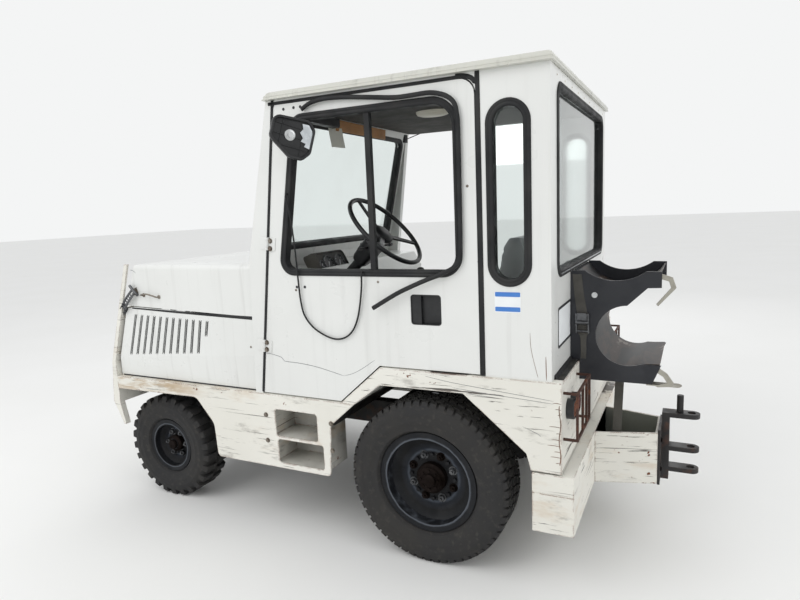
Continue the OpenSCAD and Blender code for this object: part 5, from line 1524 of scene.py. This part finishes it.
class TUG_OT_controls(bpy.types.Operator):
    """Column cowl with its switches, gauges, pedals and levers"""
    bl_idname = "tug.controls"
    bl_label = "Controls"

    HUB = (366, 300, 1440)
    TILT = 46

    def execute(self, context):
        column = turned_at(self.HUB, -self.TILT)
        cowl = Shape()
        cowl.stack([(rectangle((-x, x), (-y, y), 20), z) for z, x, y in (
            (-190, 34, 34), (-170, 40, 42), (-110, 44, 50), (-64, 44, 52), (-52, 38, 46))])
        for side in (1, -1):
            cowl.tube([(0, side * 44, -84), (-6, side * 90, -76), (-12, side * 130, -70),
                       (-14, side * 150, -68)],
                      5.5, 10)
            cowl.tube([(-14, side * 148, -68), (-15, side * 172, -66)], 9, 12)
        cowl.rod((44, -10, -120), (60, -10, -120), 9, 16)
        cowl.place(column)
        cowl.finish("column_cowl", "black_plastic", bevel=1.5, angle=40)
        boss = Shape()
        boss.turned([(0, -8), (52, -8), (58, 0), (56, 14), (40, 24), (24, 26), (0, 27)], sides=36)
        boss.place(column)
        boss.finish("steering_boss", "black_plastic", "steering_wheel")
        self.gauges()
        self.pedals()
        self.levers()
        return {"FINISHED"}

    def gauges(self):
        """Binnacle on the dashboard with two dials and a row of switches."""
        place = turned_at((686, 300, 1290), -62)
        binnacle = Shape()
        binnacle.stack([(rectangle((-x, x), (-y, y), radius), z) for z, x, y, radius in (
            (-30, 78, 150, 24), (10, 74, 146, 26), (34, 64, 136, 26), (36, 58, 130, 22), (28, 56, 128, 20))])
        binnacle.place(place)
        binnacle.finish("gauge_binnacle", "dash_plastic", bevel=1.5, angle=40)
        rims, faces, needles = Shape(), Shape(), Shape()
        for y, radius in ((-66, 42), (38, 42), (102, 20)):
            rims.turned([(radius - 4, 26), (radius, 26), (radius + 3, 30), (radius, 35), (radius - 4, 33)],
                        (0, y, 0), (0, 0, 1), 36)
            faces.turned([(0, 27), (radius - 3, 27), (radius - 3, 29), (0, 29)], (0, y, 0), (0, 0, 1), 36)
            needles.rod((radius * 0.2, y - radius * 0.1, 30),
                        (-radius * 0.6, y + radius * 0.35, 30), 1.6, 6, 0.7)
            for k in range(9):
                a = math.radians(-130 + 32 * k)
                c = Vector((-math.cos(a), math.sin(a), 0))
                p = Vector((0, y, 29.6))
                needles.rod(p + c * radius * 0.72, p + c * radius * 0.86, 0.9, 6)
        for shape, name, material, slot in ((rims, "gauge_rims", "latch_dark", None),
                                            (faces, "gauge_faces", "border_black", None),
                                            (needles, "gauge_needles", "sticker_white", "lamp_clear")):
            shape.place(place)
            shape.finish(name, material, slot=slot, angle=40)
        rocker = Shape()
        rocker.slab(rounded([(-9, -4, 2), (9, -4, 2), (9, 5, 3), (2, 8, 2), (-9, 4, 2)]), "y", -12, 12)
        row = Shape()
        row.mesh.from_mesh(repeated(rocker, 6, "black_plastic", step=(0.0, 34.0, 0.0)))
        row.place(turned_at((636, -60, 1240), -80))
        row.finish("dash_switches", "black_plastic", bevel=0.8, angle=40)

    def pedals(self):
        pedals = Shape()
        for y, wide, z in ((215, 30, 800), (330, 36, 800), (420, 26, 770)):
            pad = Shape()
            pad.stack([(rectangle((-38 + d, 38 - d), (-wide + d, wide - d), 8), h)
                       for d, h in ((0, -5), (0, 3), (2, 6), (5, 7))], 4)
            for k in range(5):
                pad.block((14 * k - 30, 14 * k - 25), (7 - wide, wide - 7), (6, 9))
            pad.place(turned_at((650, y, z), 52))
            pedals.mesh.from_mesh(pad.data("pedal_pad"))
            pedals.tube([(654, y, z + 4), (690, y, z + 20), (720, y, z + 120), (740, y, 1104)], 8, 10)
        pedals.finish("pedals", "black_plastic", angle=40)

    def levers(self):
        """Gear lever and hand brake beside the seat, with their boots and knobs."""
        levers, knobs = Shape(), Shape()
        for x, y, lean, top in ((250, 20, 40, 1230), (120, -10, -60, 1130)):
            levers.turned([(0, 0), (46, 0), (44, 8), (34, 22), (30, 26), (32, 34), (22, 50),
                           (18, 54), (19, 62), (10, 78), (0, 78)], (x, y, DECK_Z - 6), (0, 0, 1), 24)
            levers.tube(curve_points([(x, y, DECK_Z + 60), (x + lean * 0.3, y, 1040), (x + lean, y, top)],
                                     5), 6, 10)
            knobs.turned([(0, -24), (12, -22), (20, -8), (22, 4), (18, 16), (8, 22), (0, 23)],
                         (x + lean, y, top), (lean * 0.2, 0, 60), 20)
        levers.finish("lever_stems", "axle_black", angle=40)
        knobs.finish("lever_knobs", "black_plastic", angle=60)


class TUG_OT_rear_fittings(bpy.types.Operator):
    """Webbing with its buckle, the rear rubber's filler and the seam under the rear wall"""
    bl_idname = "tug.rear_fittings"
    bl_label = "Rear fittings"

    PLATE_Y = 333
    # Near strap: station, level and width, from the top edge down to the buckle and on below it.
    STRAP = ((-580, 1258, 38), (-588, 1180, 39), (-599, 1105, 42), (-604, 1070, 44), (-606, 1010, 44),
             (-607, 985, 26), (-608, 930, 23), (-607, 892, 22))
    # Second strap, drawn into the drawbar box: station, level and lean across.
    ACROSS = (-1, -0.5, 0, 0.5, 1)
    BOX_STRAP = ((-740, 864, 0), (-737, 760, 2), (-731, 600, 4), (-726, 460, 3), (-722, 340, 1),
                 (-720, 284, 0))

    def execute(self, context):
        low = node_box("straps")[0]
        straps = Shape()
        rings = []
        loop = [(share, 0) for share in self.ACROSS] + [(share, 2.2) for share in reversed(self.ACROSS)]
        for i, p in enumerate(curve_points(self.STRAP, 4)):
            fold = 1.2 * math.sin(i * 0.9)
            rings.append([(p.x + a * p.z / 2, self.PLATE_Y + 0.4 + b + (fold + 1.2) * (0.6 - abs(a)) * 0.4,
                           p.y)
                          for a, b in loop])
        straps.skin(rings)
        rings = []
        for p in curve_points(self.BOX_STRAP, 4):
            y = low[1] + 1.5 + p.z * 0.2
            rings.append([(p.x + a, y + b, p.y)
                          for a, b in ((-19, -1.2), (19, -1.2), (19, 1.2), (-19, 1.2))])
        straps.skin(rings)
        straps.finish("webbing_straps", "webbing", "body", "straps", angle=60)
        self.buckle()
        self.trims()
        return {"FINISHED"}

    def buckle(self):
        y = self.PLATE_Y + 3
        buckle = Shape()
        for side in (-1, 1):
            outline = [(x + side * 25, z, 2)
                       for x, z in ((-608, 1006), (-602, 1006), (-600, 1092), (-606, 1092))]
            buckle.slab(rounded(outline, 4), "y", y, y + 14)
        for x, z, radius in ((-603, 1084, 5), (-604, 1052, 9), (-605, 1014, 5)):
            buckle.tube([(x - 28, y + 9, z), (x + 28, y + 9, z)], radius, 14)
        buckle.slab(rounded([(-624, 1062, 4), (-584, 1062, 4), (-582, 1094, 6), (-622, 1094, 6)], 4), "y",
                    y + 14, y + 18)
        buckle.finish("strap_buckle", "latch_dark", bevel=0.8, angle=40)

    def trims(self):
        """Bright strip in the rear rubber, and the black seam along the foot of the rear wall."""
        strip = Shape()
        low, high = REAR_WINDOW[0][:2], REAR_WINDOW[2][:2]
        strip.ribbon([(-CAB_BACK - 5.4, low[0] + 60, low[1] + 15),
                      (-CAB_BACK - 5.4, high[0] - 60, low[1] + 15)],
                     (0, 0, 1), 5, 2.4)
        strip.finish("rear_rubber_filler", "aluminium", angle=40)
        ledge = Shape()
        for low, high in ((340, 668), (-668, -126)):
            ledge.slab([(-CAB_BACK - out, DECK_Z + up)
                        for out, up in ((0, 0), (0, 14), (5, 12), (8, 3), (12, 0))],
                       "y", low, high)
        ledge.finish("rear_seam_rubber", "seal_rubber", angle=40)


class TUG_OT_markings(bpy.types.Operator):
    """Blank sticker behind the door and the blank framed plate on the rear wall"""
    bl_idname = "tug.markings"
    bl_label = "Blank markings"

    def execute(self, context):
        sticker = Shape()
        sticker.slab(rounded(rectangle((-436, -333), (1150, 1230), 5), 4), "y", CAB_Y, CAB_Y + 0.5)
        sticker.finish("sticker_sheet", "sticker_white")
        bands = Shape()
        for low, high in ((1212, 1230), (1154, 1172)):
            bands.slab(rounded(rectangle((-434, -335), (low, high), 3), 4), "y", CAB_Y + 0.4, CAB_Y + 0.9)
        bands.finish("sticker_bands", "sticker_blue")
        border = Shape()
        outer, inner = rectangle((329, 593), (988, 1153), 14), rectangle((340, 582), (999, 1142), 8)
        rings = [[(x, p.x, p.y) for p in rounded(line, 5)] for line, x in (
            (outer, -CAB_BACK), (outer, -CAB_BACK - 0.9), (inner, -CAB_BACK - 0.9), (inner, -CAB_BACK))]
        border.skin(rings, closed=True)
        border.finish("plate_border", "border_black", slot="white_paint", angle=30)
        plate = Shape()
        plate.slab(rounded(rectangle((337, 585), (996, 1145), 10), 5), "x", -CAB_BACK - 0.5, -CAB_BACK)
        plate.finish("blank_plate", "sticker_white")
        return {"FINISHED"}


class TUG_OT_lamps(bpy.types.Operator):
    """Headlamps with ribbed lenses, and the tail lamps in their black housings"""
    bl_idname = "tug.lamps"
    bl_label = "Lamps"

    INNER_Y = 510

    def execute(self, context):
        self.headlamps()
        self.tail_lamps()
        return {"FINISHED"}

    def headlamps(self):
        low, high = node_box("headlamps")
        radius = (high[2] - low[2]) / 2
        bezel, lens, reflector = Shape(), Shape(), Shape()
        for y in (high[1] - radius, low[1] + radius):
            centre = (low[0], y, low[2] + radius)
            bezel.turned([(radius - 13, 2), (radius - 1, 2), (radius - 0.5, 20), (radius - 3, 27),
                          (radius - 8, 29.6), (radius - 12, 26), (radius - 13, 20)], centre, (1, 0, 0), 48)
            lens.turned([(0, 18), (radius - 14, 15), (radius - 13.2, 18), (radius - 13.2, 20),
                         (40, 24), (0, 26)],
                        centre, (1, 0, 0), 48)
            for k in range(-5, 6):
                half = math.sqrt((radius - 18) ** 2 - (k * 11) ** 2)
                drop = 5 * (k / 6) ** 2
                lens.rod(*((low[0] + 24 - drop, y + k * 11, centre[2] + end) for end in (-half, half)), 2.4,
                         8)
            reflector.turned([(0, 4), (30, 6), (radius - 16, 14), (radius - 14, 14), (radius - 14, 2),
                              (0, 2)], centre,
                             (1, 0, 0), 40)
            for a in map(math.radians, (90, 210, 330)):
                across, level = y + (radius - 5) * math.cos(a), centre[2] + (radius - 5) * math.sin(a)
                bezel.rod((low[0] + 26, across, level), (low[0] + 30, across, level), 3.4, 10)
        bezel.finish("headlamp_bezels", "bright_metal", "body", "headlamps", slot="lamp_clear")
        reflector.finish("headlamp_reflectors", "bright_metal", slot="lamp_clear")
        lens.finish("headlamp_lenses", "white_lens", angle=45)

    def tail_lamps(self):
        low, high = node_box("tail_lamps")
        radius = (high[2] - low[2]) / 2
        housings, glasses = Shape(), {"red_lens": Shape(), "amber_lens": Shape()}
        for side in (1, -1):
            for y, kind in ((high[1] - radius, "amber_lens"), (self.INNER_Y, "red_lens")):
                centre = (high[0], side * y, low[2] + radius)
                housings.turned([(0, 0), (radius, 0), (radius, 22), (radius - 1, 28), (radius - 3, 31),
                                 (radius - 6, 31), (radius - 7, 20), (0, 20)], centre, (-1, 0, 0), 40)
                glasses[kind].turned([(0, 20), (radius - 7.2, 20), (radius - 7.5, 27),
                                      (radius - 13, 31), (14, 33.4), (12, 32), (8, 32), (6, 34), (0, 34)],
                                      centre, (-1, 0, 0), 40)
                for ring in (19, 26):
                    crest = 33.8 - ring * 0.04
                    glasses[kind].turned([(ring - 1, 29), (ring + 1, 29), (ring + 0.6, crest),
                                          (ring - 0.6, crest)],
                                         centre, (-1, 0, 0), 40)
        housings.finish("tail_lamp_housings", "black_plastic", "body", "tail_lamps")
        for kind, shape in glasses.items():
            shape.finish("tail_lamp_" + kind, kind)


class TUG_OT_underside(bpy.types.Operator):
    """Radiator fins and hoses, the springs' bolts, and the darker grey inside of the drawbar box, which is
    painted shade
    """
    bl_idname = "tug.underside"
    bl_label = "Radiator, hoses and box lining"

    def execute(self, context):
        self.radiator()
        self.box_inner_shade()
        clips = Shape()
        for station, level, height in ((WHEELBASE, 330, 66), (0, 320, 130)):
            for x, y in ((station + along, y) for along in (-34, 34) for y in (258, 310)):
                clips.rod((x, y, level), (x, y, level + height + 50), 5, 10)
        clips.both_sides()
        clips.finish("spring_bolts", "axle_black", angle=40)
        return {"FINISHED"}

    def radiator(self):
        """Fins, a black sheet behind the louvres that stands for the shade inside them, and the two hoses to
        the engine.
        """
        low, high = node_box("radiator")
        fin = Shape()
        fin.block((high[0], high[0] + 5), (low[1] + 26, low[1] + 28.4), (low[2] + 50, high[2] - 60))
        fins = Shape()
        fins.mesh.from_mesh(repeated(fin, 50, "axle_black", step=(0.0, 11.4, 0.0)))
        for z in (low[2] + 46, high[2] - 56):
            bar = [(high[0] + out, z + up, corner)
                   for out, up, corner in ((-1, -8, 0), (9, -8, 4), (9, 8, 4), (-1, 8, 0))]
            fins.slab(rounded(bar, 4), "y", low[1] + 18, high[1] - 18)
        fins.finish("radiator_fins", "axle_black", slot="radiator_black", angle=40)
        # A black sheet just inside each side panel: painted shade seen through the louvre slots.
        backing = Shape()
        panel = node_box("side_panel_left")
        backing.slab(rounded([(1270, 850, 10), (1790, 850, 10), (1690, 1058, 10), (1270, 1040, 10)], 4), "y",
                     panel[0][1] - 6, panel[0][1] - 4)
        backing.both_sides()
        backing.finish("louvre_shade_backing", "border_black")
        engine = node_box("engine")[1]
        hoses = Shape()
        x, foot, top = low[0], low[2], high[2]
        for path in (((x + 6, 150, top - 40), (x - 24, 150, top - 38), (x - 50, 160, top - 60),
                      (engine[0] - 8, 168, engine[2] - 60)),
                     ((x + 6, -170, foot + 60), (x - 26, -170, foot + 60), (x - 52, -160, foot + 90),
                      (engine[0] - 8, -150, foot + 120))):
            hoses.tube(curve_points(path, 6), 19, 16)
        hoses.finish("radiator_hoses", "seal_rubber", angle=60)

    def box_inner_shade(self):
        """Darker grey inner walls and floor of the open drawbar box: painted shade inside it."""
        low, high = node_box("drawbar_box")
        lining = Shape()

        def walls(depth, z):
            return [(high[0], low[1] + depth, z), (high[0], high[1] - depth, z),
                    (low[0] + depth, 120 - depth, z), (low[0] + depth, depth - 120, z)]

        # The grey shell on the box's inner walls and floor is painted shade.
        lining.skin([walls(d, z) for d, z in ((10, high[2] - 2), (10, low[2] + 10), (11, low[2] + 10),
                                              (11, high[2] - 2))], closed=True)
        lining.skin([walls(10.5, low[2] + 10), walls(10.5, low[2] + 11)])
        lining.finish("drawbar_box_inner_shade", "inner_grey")


# Plain nodes by their finish, slot and edge rounding.
NODE_FINISHES = (
    ("cab_paint", None, 3, "cab_left cab_right cab_rear cab_front door"),
    ("bonnet_paint", None, 1.5, "bonnet side_panel_left side_panel_right"),
    ("nose_paint", None, 2, "nose"),
    ("skirt_paint", None, 2, "skirt_left skirt_right"),
    ("step_paint", None, 2, "step_left step_right"),
    ("skirt_paint", None, 2, "wing_left wing_right tail_panel"),
    ("box_paint", None, 2.5, "ballast_box"),
    ("box_paint", None, 2, "drawbar_box"),
    ("hitch_black", None, 2.5, "hitch"),
    ("hitch_black", None, 2, "hitch_pin"),
    ("cradle_black", None, 1.5, "cradle"),
    ("trough_paint", None, 1, "troughs"),
    ("rusty_bar", None, 1.5, "lamp_guards"),
    ("axle_black", None, 3, "chassis"),
    ("engine_grey", None, 12, "engine"),
    ("axle_black", "radiator_black", 3, "radiator"),
    ("axle_black", None, 1.5, "springs"),
    ("axle_black", None, 3, "front_axle rear_axle knuckle_left knuckle_right"),
    ("rim_front", None, 1.5, "rim_front_left rim_front_right"),
    ("rim_rear", None, 1.5, "rim_rear_left rim_rear_right"),
    ("axle_black", "grille_black", 1, "grille"),
    ("mat_rubber", None, 2, "cab_floor"),
    ("cab_paint", "trim_grey", 6, "dashboard"),
    ("black_plastic", None, 3, "steering_column"),
    ("black_plastic", None, 1.5, "steering_wheel"),
    ("axle_black", None, 3, "seat_base"),
    ("black_plastic", None, 1, "door_handle"),
    ("zinc", None, 1.5, "latches"),
)


class TUG_OT_panels(bpy.types.Operator):
    """Finishes of the plain nodes, with their edges rounded"""
    bl_idname = "tug.panels"
    bl_label = "Panels and castings"

    def execute(self, context):
        for material, slot, radius, nodes in NODE_FINISHES:
            for node in nodes.split():
                softened(node, material, slot, radius)
        for node in ("windscreen", "rear_glass", "quarter_glass"):
            NODES[node].data.materials.clear()
            NODES[node].data.materials.append(MATERIALS["pane_glass"])
        return {"FINISHED"}


GROUPS = {"tug_finish": TugFinish, "tug_sizes": TugSizes, "tug_stage": TugStage}
OPERATORS = (
    TUG_OT_stage, TUG_OT_door_strip, TUG_OT_window_rubbers, TUG_OT_tyres, TUG_OT_mirror, TUG_OT_roof,
    TUG_OT_wheel_fittings, TUG_OT_seat, TUG_OT_fasteners, TUG_OT_bonnet_fittings, TUG_OT_damage,
    TUG_OT_cab_lining, TUG_OT_controls, TUG_OT_rear_fittings, TUG_OT_markings, TUG_OT_lamps,
    TUG_OT_underside, TUG_OT_panels)


class TUG_PT_tug(bpy.types.Panel):
    """Colours, sizes and steps of the tug"""
    bl_idname = "TUG_PT_tug"
    bl_label = "Baggage tug"
    bl_space_type = "VIEW_3D"
    bl_region_type = "UI"
    bl_category = "Tug"

    def draw(self, context):
        for name, group in GROUPS.items():
            for key in group.__annotations__:
                self.layout.prop(getattr(context.scene, name), key)
        for operator in OPERATORS:
            self.layout.operator(operator.bl_idname)


CLASSES = (*GROUPS.values(), *OPERATORS, TUG_PT_tug)


def register():
    for cls in CLASSES:
        bpy.utils.register_class(cls)
    for name, group in GROUPS.items():
        setattr(bpy.types.Scene, name, PointerProperty(type=group))


def unregister():
    for name in GROUPS:
        delattr(bpy.types.Scene, name)
    for cls in reversed(CLASSES):
        bpy.utils.unregister_class(cls)


def main():
    register()
    make_materials()
    for operator in OPERATORS:
        getattr(bpy.ops.tug, operator.bl_idname.split(".")[1])()


if __name__ == "__main__":
    main()
